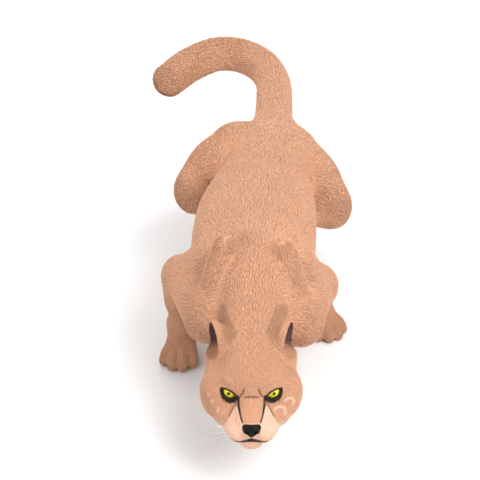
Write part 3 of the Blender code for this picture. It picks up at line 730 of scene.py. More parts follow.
def leg_zones(name):
    sign = SIDES[name]
    fore, hind = FORE[name], HIND[name]
    blade, shoulder, elbow, wrist, forepaw = joint_places(fore, FORE_JOINTS, sign)
    hip, knee, hock, hind_foot = joint_places(hind, HIND_JOINTS, sign)
    zones = [
        Zone([blade, shoulder, elbow], 0.070, 0.0033, 0.0150, 0.0022, 0.0035),
        Zone([elbow, wrist], 0.046, 0.0024, 0.0102, 0.0018, 0.0030),
        Zone([hip, knee], 0.085, 0.0034, 0.0165, 0.0023, 0.0036),
        Zone([knee, hock], 0.050, 0.0026, 0.0112, 0.0019, 0.0031),
        Zone([hock, hind_foot], 0.036, 0.0024, 0.0078, 0.0016, 0.0027),
    ]
    for paw, joints, size in ((forepaw, fore, 1.0), (hind_foot, hind, 0.9)):
        turn = math.radians(joints["turn_out"]) * sign
        ahead = vec(math.sin(turn), -math.cos(turn), -0.12)
        route = [paw - 0.020 * ahead, paw + 0.055 * size * ahead]
        zones.append(Zone(route, 0.044, 0.0018, 0.0056, 0.0014, 0.0024))
    return zones


def head_zones():
    """Skull, muzzle, bridge of the nose, chin and ears. The hair spreads from the nose, or lies back."""
    nose = on_head(0.0, 0.082, -0.041)
    skull = [on_head(0, -0.03, 0), on_head(0, -0.10, 0)]
    muzzle = [on_head(0, 0.07, -0.045), on_head(0, 0.01, -0.041)]
    bridge = [on_head(0, 0.055, -0.027), on_head(0, 0, 0)]
    chin = [on_head(0, 0.045, -0.087), on_head(0, -0.03, -0.081)]
    zones = [
        Zone(skull, 0.090, 0.0019, 0.0078, 0.0015, 0.0026, nose),
        Zone(muzzle, 0.050, 0.0011, 0.0036, 0.0010, 0.0020, nose),
        Zone(bridge, 0.024, 0.0010, 0.0034, 0.0010, 0.0020, towards=-head_axes()[1]),
        Zone(chin, 0.030, 0.0018, 0.0055, 0.0013, 0.0022, nose),
    ]
    for sign in SIDES.values():
        root, axes = ear_frame(sign)
        shell = [root, root + 0.040 * HEAD_SIZE * axes[2], root + 0.070 * HEAD_SIZE * axes[2]]
        zones.append(Zone(shell, 0.034, 0.0009, 0.0042, 0.0012, 0.0022))
    return zones


def coat_values(places):
    """(depth, length, width, spacing) of the fur at each place, and the unit direction it lies in."""
    total = np.full(len(places), 1e-9)
    values = np.zeros((len(places), 4))
    lies = np.zeros((len(places), 3))
    for zone in trunk_zones() + leg_zones("left") + leg_zones("right") + head_zones():
        weights, directions = zone.near(places)
        total += weights
        values += weights[:, None] * zone.values
        lies += directions
    return values / total[:, None], unit_rows(lies, 1e-9)


def head_places(places):
    """Places in the head's own measure: how far to its left, forward and up."""
    return (places - np.array(HEAD_CENTRE)) @ head_axes().T / HEAD_SIZE


def form_depth(form, places):
    return form.depth(places[:, 0], places[:, 1], places[:, 2])


def slit_depth(places):
    """How far each place is from the nearer slit between two lids, as seen from in front of the eye."""
    nearest = np.full(len(places), FAR)
    for sign in SIDES.values():
        axes = eye_turn(sign)
        middle = eye_place(sign) + axes[1] * EYE_RADIUS
        away = (places - middle) @ axes.T
        flat = middle + away[:, [0]] * axes[0] + away[:, [2]] * axes[2]
        found = form_depth(lid_slit(middle, axes), flat)
        found[(away[:, 1] < -0.030) | (away[:, 1] > 0.03)] = FAR
        nearest = np.minimum(nearest, found)
    return nearest


def mouth_depth(places):
    """How far each place is from the line of the mouth."""
    lines = [mouth_forms(sign)[-1] for sign in SIDES.values()]
    return np.minimum(*(form_depth(line, places) for line in lines))


def smooth_step(value, low, high):
    share = np.clip((value - low) / (high - low), 0.0, 1.0)
    return share * share * (3.0 - 2.0 * share)


def crosses(corners):
    """A normal of each quad, as long as twice its area."""
    return np.cross(corners[:, 2] - corners[:, 0], corners[:, 3] - corners[:, 1])


def normals_of(points, quads):
    faces = crosses(points[quads])
    normals = np.zeros_like(points)
    for corner in range(4):
        np.add.at(normals, quads[:, corner], faces)
    return unit_rows(normals)


def sole_share(places, normals, least):
    """1 on the flats of the soles, fading to 0 round them. least is the least that they face downward."""
    return smooth_step(-normals[:, 2], least, 0.9) * smooth_step(-places[:, 2], -0.008, -0.003)


def inset_by_coat(points, quads):
    """Move the surface in by the coat's depth. Lids and lips move in less, and the flats of the soles stay
    where they are.
    """
    normals = normals_of(points, quads)
    depth = coat_values(points)[0][:, 0]
    depth *= 0.15 + 0.85 * smooth_step(slit_depth(points), 0.001, 0.007)
    depth *= 0.3 + 0.7 * smooth_step(mouth_depth(points), 0.001, 0.005)
    depth *= 1.0 - sole_share(points, normals, 0.5)
    moved = points - normals * depth[:, None]
    moved[:, 2] = np.maximum(moved[:, 2], 0.0)
    return moved


def surface(forms, low, high, voxel):
    """(points, quads) of the fused forms' surface between two corners."""
    grid = sampled(forms, low, high, voxel)
    points, quads = mesh_of(grid, low, voxel)
    return points.astype(float), quads.astype(int)


def kept(points, quads, wanted):
    """The part of a mesh whose quads have all their corners wanted."""
    quads = quads[wanted[quads].all(axis=1)]
    used = np.unique(quads)
    number = np.full(len(points), -1)
    number[used] = np.arange(len(used))
    return points[used], number[quads]


def skin_surface(settings):
    """(points, quads) of the skin: the body's, and the head's in finer mesh, which meet under the fur."""
    forms = skin_forms()
    body = surface(forms, *BODY_GRID, settings.body_voxel)
    head = surface(forms, *HEAD_GRID, settings.face_voxel)
    seam = HEAD_SEAM / HEAD_SIZE
    body = kept(*body, head_places(body[0])[:, 1] < seam + SEAM_LAP / HEAD_SIZE)
    head = kept(*head, head_places(head[0])[:, 1] > seam)
    body = (inset_by_coat(*body), body[1])
    head = (inset_by_coat(*head), head[1])
    return np.vstack([body[0], head[0]]), np.vstack([body[1], head[1] + len(body[0])])


def mixed(colours, other, share):
    return colours + (np.asarray(other, float) - colours) * np.clip(share, 0.0, 1.0)[:, None]


def patchy(places, scale, offset=0.0):
    """Soft noise between 0 and 1 at each place."""
    aside = Vector((offset, 0, 0))
    found = [noise.noise(Vector(place) * scale + aside) for place in places]
    return np.array(found) * 0.5 + 0.5


# The edge of the bridge of the nose: how far down, then how far out
BRIDGE_EDGE = (
    (0.0030, 0.0117, 0.0160, 0.0222, 0.0285, 0.0340),
    (0.0247, 0.0237, 0.0222, 0.0201, 0.0166, 0.0150),
)

# Pale arcs round spots on the left cheek as (x, height, radius), and pale ticks down the right one as
# (x, height, half length). Height is as the camera sees it, from these shares of up and forward. The ticks
# lean this far across and up.
CHEEK_SPOTS = ((0.0679, -0.0218, 0.0060), (0.0506, -0.0374, 0.0082))
CHEEK_TICKS = ((-0.0765, -0.0083, 0.003), (-0.0700, -0.0197, 0.004), (-0.0602, -0.0345, 0.006))
SEEN_UP = 0.934
SEEN_FORWARD = 0.358
TICK_LEAN = (0.42, 0.91)


def face_marks(colours, places, settings):
    """The pale muzzle and chin, the marks on the cheeks, the dark rims and line of the mouth, and the folds,
    darkened with painted shade in their creases.
    """
    pale, dark = settings.pale_colour, settings.dark_colour
    x, forward, up = np.abs(head_places(places)).T[0], *head_places(places).T[1:]
    near = (forward > -0.13) & (up > -0.13) & (x < 0.11)
    bridge = np.interp(-up, BRIDGE_EDGE[0], BRIDGE_EDGE[1])
    outer = 0.0262 + 0.64 * np.clip(-0.010 - up, 0.0, 0.05)
    within = smooth_step(outer - x, -0.001, 0.003)
    side = smooth_step(x, bridge, bridge + 0.0025) * smooth_step(forward, -0.004, 0.012)
    side = side * within * smooth_step(-up, 0.004, 0.011)
    lips = smooth_step(-up, 0.044, 0.054) * smooth_step(forward, -0.010, 0.012) * within
    chin = smooth_step(-up, 0.070, 0.078) * smooth_step(forward, -0.050, -0.015)
    throat = smooth_step(-up, 0.085, 0.11) * 0.7
    colours = mixed(colours, pale, near * np.maximum.reduce([side, lips, chin, throat]))
    colours = mixed(colours, pale, near * cheek_marks(places))
    edge = np.exp(-(((x - outer) / 0.0013) ** 2)) * smooth_step(forward, 0.010, 0.018)
    edge *= smooth_step(-up, 0.007, 0.012) * smooth_step(up, -0.036, -0.028)
    # The dark edge of the pale muzzle, and the folds: painted shade in their creases, with the tear groove's
    # and lip groove's own dark lines
    colours = mixed(colours, dark, near * np.maximum(edge * 0.75, fold_shade_and_lines(places)))
    return mixed(colours, dark, near * np.maximum(rim_marks(places), lip_marks(places)))


def cheek_marks(places):
    """Pale arcs round two spots on the left cheek, and short pale ticks down the right one."""
    x, forward, up = head_places(places).T
    height = SEEN_UP * up - SEEN_FORWARD * forward
    marks = np.zeros(len(places))
    for middle, middle_height, radius in CHEEK_SPOTS:
        right, above = x - middle, height - middle_height
        away = np.hypot(right, above) - radius
        band = smooth_step(away, -0.0012, 0.0006) * smooth_step(-away, -0.0058, -0.0034)
        marks = np.maximum(marks, band * smooth_step(above + 0.6 * right, -0.006, 0.001))
    for middle, middle_height, half in CHEEK_TICKS:
        right, above = x - middle, height - middle_height
        along = TICK_LEAN[0] * right + TICK_LEAN[1] * above
        across = TICK_LEAN[1] * right - TICK_LEAN[0] * above
        marks = np.maximum(marks, np.exp(-((along / half) ** 4) - (across / 0.0024) ** 4))
    return 0.85 * marks * smooth_step(forward, -0.075, -0.060)


def fold_shade_and_lines(places):
    """How dark each place is painted in the folds of the face: painted shade in the creases, and along the
    tear groove and the groove of the lip also their own dark line.
    """
    marks = np.zeros(len(places))
    for name, (darkness, _) in FACE_FOLDS.items():
        for sign in SIDES.values():
            near = 1.0 - smooth_step(form_depth(fold_form(name, sign), places), 0.0002, 0.0018)
            marks = np.maximum(marks, darkness * near)
    return marks


def rim_marks(places):
    """1 round the slits between the lids, fading to 0."""
    return 1.0 - smooth_step(slit_depth(places), 0.0046, 0.0070)


def lip_marks(places):
    """1 along the line of the mouth, fading to 0."""
    return 1.0 - smooth_step(mouth_depth(places), 0.0014, 0.0038)


def ear_marks(colours, places, settings):
    """The cups are painted dark with the shade that falls in their hollows, and the backs are a little darker
    than the coat.
    """
    for sign in SIDES.values():
        root, axes = ear_frame(sign)
        across, opens, tip = axes @ (places - root).T / HEAD_SIZE
        near = (np.abs(across) < 0.034) & (np.abs(opens) < 0.03) & (tip > -0.016) & (tip < 0.080)
        cup = ear_forms(sign)[1]
        inside = 1.0 - smooth_step(form_depth(cup, places), 0.0004, 0.0030)
        # Painted shade: the cup's hollow is coloured the purple brown of its shadow
        colours = mixed(colours, settings.ear_cup_shade_colour, near * inside * smooth_step(tip, 0.000, 0.018))
        back = smooth_step(-opens, 0.004, 0.014) * smooth_step(tip, 0.004, 0.024)
        colours = mixed(colours, settings.dark_colour, near * back * 0.22)
    return colours


def coat_colours(places, normals, settings):
    """The linear colour of skin and coat at each place: the same for both."""
    colours = np.tile(np.array(settings.coat_colour, float), (len(places), 1))
    shade = patchy(places, 7.0) * 0.6 + patchy(places, 23.0, 9.0) * 0.4
    colours *= (0.93 + 0.14 * shade)[:, None]
    x, y, z = places.T
    ahead = head_places(places)[:, 1]
    inward = -normals[:, 0] * np.sign(x - 0.6 * np.minimum(y, 0.1))
    upward = normals[:, 2]
    under = smooth_step(-upward, 0.35, 0.85) * smooth_step(-z, -0.330, -0.200)
    inner = smooth_step(inward, 0.3, 0.9) * smooth_step(-z, -0.240, -0.160)
    inner *= smooth_step(-ahead, 0.12, 0.16)
    colours = mixed(colours, settings.pale_colour, np.maximum(under * 0.75, inner * 0.35))
    spine = smooth_step(upward, 0.75, 0.98) * smooth_step(-ahead, 0.02, 0.20) * smooth_step(z, 0.30, 0.38)
    colours *= (1.0 - 0.07 * spine)[:, None]
    colours = mixed(colours, settings.dark_colour, sole_share(places, normals, 0.6))
    colours = ear_marks(colours, places, settings)
    return np.clip(face_marks(colours, places, settings), 0.0, 1.0)


def is_bare(places, normals):
    """Where no fur grows: the nose, the rims of the eyes, the line of the mouth, nostrils and soles."""
    away = head_places(places)
    nose = (form_depth(nose_prism(), places) < 0.001) & (away[:, 1] > 0.055)
    sole = (places[:, 2] < 0.004) & (normals[:, 2] < 0.3)
    return nose | sole | (slit_depth(places) < 0.0034) | (mouth_depth(places) < 0.0012)


def scattered(points, quads, generator, settings):
    """Roots of the tufts: evenly spread over the skin, closer where the fur is finer."""
    corners = points[quads]
    areas = np.linalg.norm(crosses(corners), axis=1) / 2
    spacing = coat_values(corners.mean(axis=1))[0][:, 3] * settings.tuft_spacing
    running = np.floor(np.cumsum(areas / spacing**2) + generator.random())
    counts = np.diff(running, prepend=running[0]).astype(int)
    picked = np.repeat(corners, counts, axis=0)
    u, v = generator.random((2, len(picked), 1))
    low = picked[:, 0] * (1 - u) + picked[:, 1] * u
    high = picked[:, 3] * (1 - u) + picked[:, 2] * u
    return low * (1 - v) + high * v, unit_rows(crosses(picked))


def hair_lie(places, normals, lies, generator):
    """The lie of the fur on the skin: with the body, falling a little on its sides, never quite even."""
    fall = 0.35 * np.abs(normals[:, 0]) * smooth_step(places[:, 2], 0.12, 0.26)
    lies = lies - UP * fall[:, None]
    lies = unit_rows(lies - (lies * normals).sum(axis=1)[:, None] * normals, 1e-6)
    across = np.cross(normals, lies)
    turn = (patchy(places, 15.0, 4.0) - 0.5) * 0.6 + generator.normal(0.0, 0.09, len(places))
    return lies * np.cos(turn)[:, None] + across * np.sin(turn)[:, None]


# One tuft has two rings of left edge, right edge and ridge, then its tip. Each ring is given as its share
# of the length, of the width and of the coat's depth. The tones, and the places on the map for baking, are
# those of the seven corners in that order. A tuft's patch on that map is PATCH wide. The tones are darker at
# the root and lighter to the tip: partly the hair's darker base, partly painted shade where the tufts
# overlap.
RINGS = ((0.0, 0.75, -0.15), (0.55, 1.0, 0.66))
RIDGE_RISE = 0.24
TIP_RISE = 0.74
TONES = np.array([0.87, 0.87, 0.90, 0.98, 0.98, 1.0, 1.03])
TUFT_TRIANGLES = 10
TUFT_FACES = ((0, 1, 4, 3), (1, 2, 5, 4), (2, 0, 3, 5), (3, 4, 6), (4, 5, 6), (5, 3, 6), (2, 1, 0))
PATCH = 0.003
TUFT_PATCH = np.array(
    [(-0.45, -0.50), (0.45, -0.50), (0.0, -0.35), (-0.50, 0.05), (0.50, 0.05), (0.0, 0.15), (0.0, 0.50)]
)
CHART_MARGIN = 0.012

# The farthest from its root that a tuft's colour is taken, so that marks keep sharp edges
MARK_SHIFT = 0.006


def tuft_points(roots, normals, lies, values, generator):
    """The seven corners of each tuft."""
    count = len(roots)
    across = np.cross(normals, lies)
    depth = values[:, [0]] * generator.uniform(0.80, 1.10, (count, 1))
    length = values[:, [1]] * generator.uniform(0.80, 1.15, (count, 1))
    width = values[:, [2]] * generator.uniform(0.80, 1.20, (count, 1))
    points = np.empty((count, 7, 3))
    for ring, (share, wide, rise) in enumerate(RINGS):
        middle = roots + lies * length * share + normals * depth * rise
        points[:, 3 * ring] = middle - across * width * wide / 2
        points[:, 3 * ring + 1] = middle + across * width * wide / 2
        points[:, 3 * ring + 2] = middle + normals * width * wide * RIDGE_RISE
    bend = generator.normal(0.0, 0.06, (count, 1)) * length
    points[:, 6] = roots + lies * length + normals * depth * TIP_RISE + across * bend
    points[:, :, 2] = np.maximum(points[:, :, 2], 0.0003)
    return points


def chart_places(roots, normals):
    """Each root's place in an atlas of six flat charts, one for each way that the skin can face."""
    low = roots.min(axis=0)
    scaled = (roots - low) / np.maximum(roots.max(axis=0) - low, 1e-3)
    axis = np.abs(normals).argmax(axis=1)
    side = (normals[np.arange(len(roots)), axis] > 0).astype(int)
    u = np.where(axis == 0, scaled[:, 1], scaled[:, 0])
    v = np.where(axis == 2, scaled[:, 1], scaled[:, 2])
    chart = vec(1.0 / 3.0, 0.5)
    corner = np.stack([axis, side], axis=1) * chart + CHART_MARGIN
    return corner + np.stack([u, v], axis=1) * (chart - 2 * CHART_MARGIN)


def coat_piece(name, roots, normals, lies, values, colours, generator):
    """One joined mesh of tufts, with their colours, a map along their strands and the map for baking."""
    points = tuft_points(roots, normals, lies, values, generator)
    count = len(roots)
    start = np.arange(count)[:, None] * 7
    faces = [np.array(face)[None, :] + start for face in TUFT_FACES]
    piece = mesh_piece(name, points.reshape(-1, 3), faces)
    # Each tuft's random tone times TONES: darker roots, partly the hair's base and partly painted shade
    # between tufts
    tone = generator.uniform(0.93, 1.07, (count, 1, 1)) * TONES[None, :, None]
    paint(piece, np.clip(colours[:, None, :] * tone, 0.0, 1.0).reshape(-1, 3))
    places = chart_places(roots, normals)[:, None, :] + TUFT_PATCH[None] * PATCH
    strand = TUFT_PATCH[None] * values[:, None, [2, 1]] + generator.random((count, 1, 2))
    uv_map(piece, "OFBake", places.reshape(-1, 2))
    uv_map(piece, "Strand", strand.reshape(-1, 2))
    return piece


def nearest_nodes(places, names):
    """The name of the CAD node that each place is on."""
    corners = [(name, vertex.co) for name in names for vertex in frame["nodes"][name].data.vertices]
    tree = kdtree.KDTree(len(corners))
    for number, (_, corner) in enumerate(corners):
        tree.insert(corner, number)
    tree.balance()
    return np.array([corners[tree.find(place)[1]][0] for place in places])


def design_shift():
    """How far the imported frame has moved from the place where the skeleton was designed."""
    low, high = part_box("eye_left")
    return np.array(low + high) / 2 - eye_place(SIDES["left"])


def mesh_piece(name, points, faces):
    """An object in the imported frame, from points of the design and arrays of faces with as many corners."""
    loops = np.concatenate([block.ravel() for block in faces])
    sizes = np.concatenate([np.full(len(block), block.shape[1]) for block in faces])
    mesh = bpy.data.meshes.new(name)
    mesh.vertices.add(len(points))
    mesh.vertices.foreach_set("co", (points + design_shift()).astype(np.float32).ravel())
    mesh.loops.add(len(loops))
    mesh.loops.foreach_set("vertex_index", loops.astype(np.int32))
    mesh.polygons.add(len(sizes))
    mesh.polygons.foreach_set("loop_start", (np.cumsum(sizes) - sizes).astype(np.int32))
    mesh.update(calc_edges=True)
    mesh.validate()
    mesh.shade_smooth()
    piece = bpy.data.objects.new(name, mesh)
    bpy.context.scene.collection.objects.link(piece)
    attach(piece, "root")
    return piece


def corner_numbers(mesh):
    numbers = np.empty(len(mesh.loops), np.int32)
    mesh.loops.foreach_get("vertex_index", numbers)
    return numbers


def paint(piece, colours):
    """Store one linear colour for each point, for the materials to read."""
    layer = piece.data.color_attributes.new("Coat", "FLOAT_COLOR", "POINT")
    rows = np.hstack([colours, np.ones((len(colours), 1))])
    layer.data.foreach_set("color", rows.astype(np.float32).ravel())


def uv_map(piece, name, places):
    layer = piece.data.uv_layers.new(name=name)
    layer.data.foreach_set("uv", places[corner_numbers(piece.data)].astype(np.float32).ravel())


# FUR_BASE is the fur's colour where the painted one can't be read
WHITE = (1.0, 1.0, 1.0)
PUPIL = (0.004, 0.004, 0.004)
FUR_BASE = (0.73, 0.386, 0.235)


def new_material(name, colour, roughness, **constants):
    """(material, its tree, its shader). Constants are set on the shader's own sockets."""
    material = bpy.data.materials.new(name)
    material.use_nodes = True
    tree = material.node_tree
    shader = tree.nodes["Principled BSDF"]
    shader.inputs["Base Color"].default_value = (*colour, 1.0)
    shader.inputs["Roughness"].default_value = roughness
    for socket, value in constants.items():
        shader.inputs[socket.replace("_", " ")].default_value = value
    return material, tree, shader


def add_node(tree, kind, inputs=(), **options):
    made = tree.nodes.new(kind)
    for option, value in options.items():
        setattr(made, option, value)
    for socket, value in dict(inputs).items():
        if isinstance(value, bpy.types.NodeSocket):
            tree.links.new(value, made.inputs[socket])
        else:
            made.inputs[socket].default_value = value
    return made


def object_place(tree):
    return add_node(tree, "ShaderNodeTexCoord").outputs["Object"]


def noise_of(tree, vector, scale, detail, stretch=(1.0, 1.0, 1.0)):
    """The grey value of a noise over a vector, stretched along its axes."""
    spread = add_node(tree, "ShaderNodeVectorMath", {0: vector, 1: stretch}, operation="MULTIPLY")
    inputs = {"Vector": spread.outputs[0], "Scale": scale, "Detail": detail}
    texture = add_node(tree, "ShaderNodeTexNoise", inputs)
    return texture.outputs["Fac"]


def ramp_of(tree, value, stops):
    """The colour that a value takes from stops of (place, colour)."""
    ramp = add_node(tree, "ShaderNodeValToRGB", {"Fac": value})
    elements = ramp.color_ramp.elements
    while len(elements) < len(stops):
        elements.new(0.5)
    for element, (place, colour) in zip(elements, stops):
        element.position = place
        element.color = (*colour, 1.0)
    return ramp.outputs["Color"]


def tinted(tree, shader, colour, tint=None):
    """Let the shader take a colour, or that colour times a tint."""
    if tint is not None:
        inputs = {"Factor": 1.0, 6: colour, 7: tint}
        mix = add_node(tree, "ShaderNodeMix", inputs, data_type="RGBA", blend_type="MULTIPLY")
        colour = mix.outputs[2]
    tree.links.new(colour, shader.inputs["Base Color"])


def bumped(tree, shader, height, strength, distance):
    bump = add_node(tree, "ShaderNodeBump", {"Height": height, "Strength": strength, "Distance": distance})
    tree.links.new(bump.outputs["Normal"], shader.inputs["Normal"])


def fur_material(name, roughness, sheen, sheen_roughness):
    """(material, its tree, its shader, the painted colour) of skin or coat."""
    constants = {"Specular_IOR_Level": 0.16, "Sheen_Weight": sheen, "Sheen_Roughness": sheen_roughness}
    material, tree, shader = new_material(name, FUR_BASE, roughness, **constants)
    painted = add_node(tree, "ShaderNodeAttribute", attribute_name="Coat").outputs["Color"]
    return material, tree, shader, painted


def coat_material():
    """Tufts of fur: the painted colour, streaked and ridged along the strands."""
    material, tree, shader, painted = fur_material("coat_fur", 0.66, 0.06, 0.45)
    strand = add_node(tree, "ShaderNodeUVMap", uv_map="Strand").outputs["UV"]
    hairs = noise_of(tree, strand, 1.0, 2.0, (3600.0, 140.0, 1.0))
    tinted(tree, shader, painted, ramp_of(tree, hairs, [(0.30, (0.80, 0.79, 0.78)), (0.68, WHITE)]))
    bumped(tree, shader, hairs, 0.5, 0.0004)
    return material


def skin_material():
    """The skin under the fur: the painted colour, with the grain of the shortest hair."""
    material, tree, shader, painted = fur_material("skin_fur", 0.70, 0.05, 0.5)
    grain = noise_of(tree, object_place(tree), 820.0, 3.0, (1.0, 0.45, 1.0))
    tinted(tree, shader, painted, ramp_of(tree, grain, [(0.32, (0.74, 0.72, 0.70)), (0.66, WHITE)]))
    bumped(tree, shader, grain, 0.55, 0.0006)
    return material


def nodes_of_slot(slot):
    return [part["node"] for part in frame["record"]["subparts"] if part["material_slot"] == slot]


def build_skin(settings):
    """The skin, with the marks of the coat's surface over it."""
    points, quads = skin_surface(settings)
    skin = mesh_piece("skin", points, [quads])
    normals = normals_of(points, quads)
    shown = points + normals * coat_values(points)[0][:, [0]]
    # The skin between the tufts is darker: partly the darker base of the hairs, partly painted shade between
    # the tufts
    paint(skin, coat_colours(shown, normals, settings) * np.array(settings.skin_hair_base_and_shade))
    skin.data.materials.append(skin_material())
    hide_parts(*nodes_of_slot("coat"))


def skin_arrays():
    """The skin's points, back where it was designed, and its quads."""
    mesh = bpy.data.objects["skin"].data
    points = np.empty(len(mesh.vertices) * 3, np.float32)
    mesh.vertices.foreach_get("co", points)
    return points.reshape(-1, 3).astype(float) - design_shift(), corner_numbers(mesh).reshape(-1, 4)


def coat_groups(roots):
    """(piece name, its tufts): a piece for each node, or more from right to left where it is too big."""
    names = nodes_of_slot("coat")
    owners = nearest_nodes(roots + design_shift(), names)
    groups = []
    for name in names:
        rows = np.flatnonzero(owners == name)
        rows = rows[np.argsort(roots[rows, 0])]
        count = math.ceil(len(rows) * TUFT_TRIANGLES / MOST_TRIANGLES)
        for number, share in enumerate(np.array_split(rows, max(count, 1)), 1):
            groups.append(("fur_%s_%d" % (name, number) if count > 1 else "fur_" + name, share))
    return [group for group in groups if len(group[1])]


def build_coat(settings):
    """Tufts over all the skin that isn't bare, coloured as the coat's surface is halfway along each one."""
    generator = np.random.default_rng(settings.seed)
    points, quads = skin_arrays()
    roots, normals = scattered(points, quads, generator, settings)
    grows = ~is_bare(roots, normals)
    roots, normals = roots[grows], normals[grows]
    values, lies = coat_values(roots)
    lies = hair_lie(roots, normals, lies, generator)
    shown = roots + normals * values[:, [0]] + lies * np.minimum(0.5 * values[:, [1]], MARK_SHIFT)
    colours = coat_colours(shown, normals, settings)
    values = values * np.array([1.0, settings.tuft_length, settings.tuft_width, 1.0])
    opening = np.minimum(slit_depth(roots), mouth_depth(roots))
    values[:, 1] *= 0.40 + 0.60 * smooth_step(opening, 0.002, 0.012)
    material = coat_material()
    for name, rows in coat_groups(roots):
        share = (each[rows] for each in (roots, normals, lies, values, colours))
        piece = coat_piece(name, *share, generator)
        piece.data.materials.append(material)


def toned(colour, share=1.0):
    return tuple(share * part for part in colour)


def eye_material(settings):
    """A yellow iris with fine spokes and a dark ring, a round pupil, and a dark edge under the lids."""
    material, tree, shader = new_material(
        "eye_wet", (0.88, 0.74, 0.02), 0.30, Specular_IOR_Level=0.20, Coat_Weight=0.5, Coat_Roughness=0.03
    )
    disc = add_node(tree, "ShaderNodeUVMap", uv_map="Iris").outputs["UV"]
    middle = {0: disc, 1: (0.5, 0.5, 0.0)}
    centred = add_node(tree, "ShaderNodeVectorMath", middle, operation="SUBTRACT").outputs[0]
    radius = add_node(tree, "ShaderNodeVectorMath", {0: centred}, operation="LENGTH").outputs["Value"]
    around = add_node(tree, "ShaderNodeVectorMath", {0: centred}, operation="NORMALIZE").outputs[0]
    spokes = noise_of(tree, around, 9.0, 4.0)
    iris = settings.iris_colour
    rings = [
        (0.000, PUPIL),
        (0.092, PUPIL),
        (0.104, toned(iris, 0.8)),
        (0.180, toned(iris)),
        (0.360, toned(iris)),
        (0.395, toned(iris, 0.55)),
        (0.420, (0.010, 0.006, 0.004)),
        (0.460, toned(settings.dark_colour)),
    ]
    streaks = ramp_of(tree, spokes, [(0.35, (0.72, 0.66, 0.45)), (0.60, WHITE)])
    tinted(tree, shader, ramp_of(tree, radius, rings), streaks)
    bumped(tree, shader, spokes, 0.08, 0.0003)
    return material


def eye_surface(sign):
    """(points, faces, places on the disc) of one eye: a ball with the cornea's low dome in front."""
    rings, spokes = 48, 64
    polar = np.linspace(0.002, math.pi - 0.002, rings)[:, None]
    turn = np.arange(spokes)[None, :] * (2 * math.pi / spokes)
    dome = 1.0 + 0.055 * (1.0 - smooth_step(polar, 0.0, 0.80))
    across, up = np.sin(polar) * np.cos(turn), np.sin(polar) * np.sin(turn)
    ahead = np.cos(polar) + 0.0 * turn
    radius = (EYE_RADIUS - 0.0002) * dome
    rounded = np.stack([across, ahead, up], axis=2) * radius[:, :, None]
    points = eye_place(sign) + rounded.reshape(-1, 3) @ eye_turn(sign)
    spread = np.where(polar < math.pi / 2, np.sin(polar), 1.0)
    disc = np.stack([spread * np.cos(turn), spread * np.sin(turn)], axis=2).reshape(-1, 2) * 0.5 + 0.5
    ring, spoke = np.meshgrid(np.arange(rings - 1) * spokes, np.arange(spokes), indexing="ij")
    after = (spoke + 1) % spokes
    corners = [ring + spoke, ring + spokes + spoke, ring + spokes + after, ring + after]
    quads = np.stack(corners, axis=2).reshape(-1, 4)
    ends = [np.arange(spokes)[None, :], (np.arange(spokes)[::-1] + (rings - 1) * spokes)[None, :]]
    return points, [quads] + ends, disc


def build_eyes(settings):
    material = eye_material(settings)
    for name, sign in SIDES.items():
        points, faces, disc = eye_surface(sign)
        eye = mesh_piece("eyeball_" + name, points, faces)
        uv_map(eye, "Iris", disc)
        eye.data.materials.append(material)
        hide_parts("eye_" + name)


# The nose pad's outline on its left as (x, up), and how far forward its back is
NOSE_SIDE = [(0.0120, -0.0292), (0.0170, -0.0350), (0.0158, -0.0425), (0.0058, -0.0525)]
NOSE_BACK = 0.0620


def nose_prism():
    """What lies in front of the nose pad's back and inside its outline, whose corners are cut twice."""
    side = np.array(NOSE_SIDE)
    outline = np.vstack([side, side[::-1] * (-1, 1)])
    for _ in range(2):
        after = np.roll(outline, -1, axis=0)
        cuts = [0.80 * outline + 0.20 * after, 0.20 * outline + 0.80 * after]
        outline = np.stack(cuts, axis=1).reshape(-1, 2)
    middle = outline.mean(axis=0)
    axes = head_axes() / HEAD_SIZE
    centre = np.array(HEAD_CENTRE)
    walls = []
    for first, second in zip(outline, np.roll(outline, -1, axis=0)):
        normal = unit((second[1] - first[1], first[0] - second[0]))
        normal = normal if normal @ (first - middle) > 0 else -normal
        walls.append((normal, normal @ first))

    def depth(x, y, z):
        x, y, z = x - centre[0], y - centre[1], z - centre[2]
        left, forward, up = (a[0] * x + a[1] * y + a[2] * z for a in axes)
        deepest = NOSE_BACK - forward
        for normal, reach in walls:
            deepest = np.maximum(deepest, normal[0] * left + normal[1] * up - reach)
        return HEAD_SIZE * deepest

    return Form(depth, centre - 0.2, centre + 0.2, 0.002)


def nose_material(settings):
    """Black leather: small pebbles, a little damp."""
    black = toned(settings.nose_colour)
    material, tree, shader = new_material(
        "nose_leather", black, 0.50, Specular_IOR_Level=0.10, Coat_Weight=0.03, Coat_Roughness=0.25
    )
    inputs = {"Vector": object_place(tree), "Scale": 760.0}
    pebbles = add_node(tree, "ShaderNodeTexVoronoi", inputs).outputs["Distance"]
    tinted(tree, shader, ramp_of(tree, pebbles, [(0.0, black), (0.7, toned(black, 0.5))]))
    bumped(tree, shader, pebbles, 0.55, -0.0004)
    return material


def build_nose(settings):
    """The nose pad, cut out of the head's forms by its outline, in the finest mesh."""
    prism = nose_prism()
    outside = Form(lambda x, y, z: -prism.depth(x, y, z), prism.low, prism.high, 0.0016, hollow=True)
    middle = on_head(0.0, 0.070, -0.046)
    low, high = middle - NOSE_GRID_HALF, middle + NOSE_GRID_HALF
    points, quads = surface(head_forms() + [outside], low, high, settings.nose_voxel)
    nose = mesh_piece("nose_pad", points, [quads])
    nose.data.materials.append(nose_material(settings))
    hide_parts("nose")


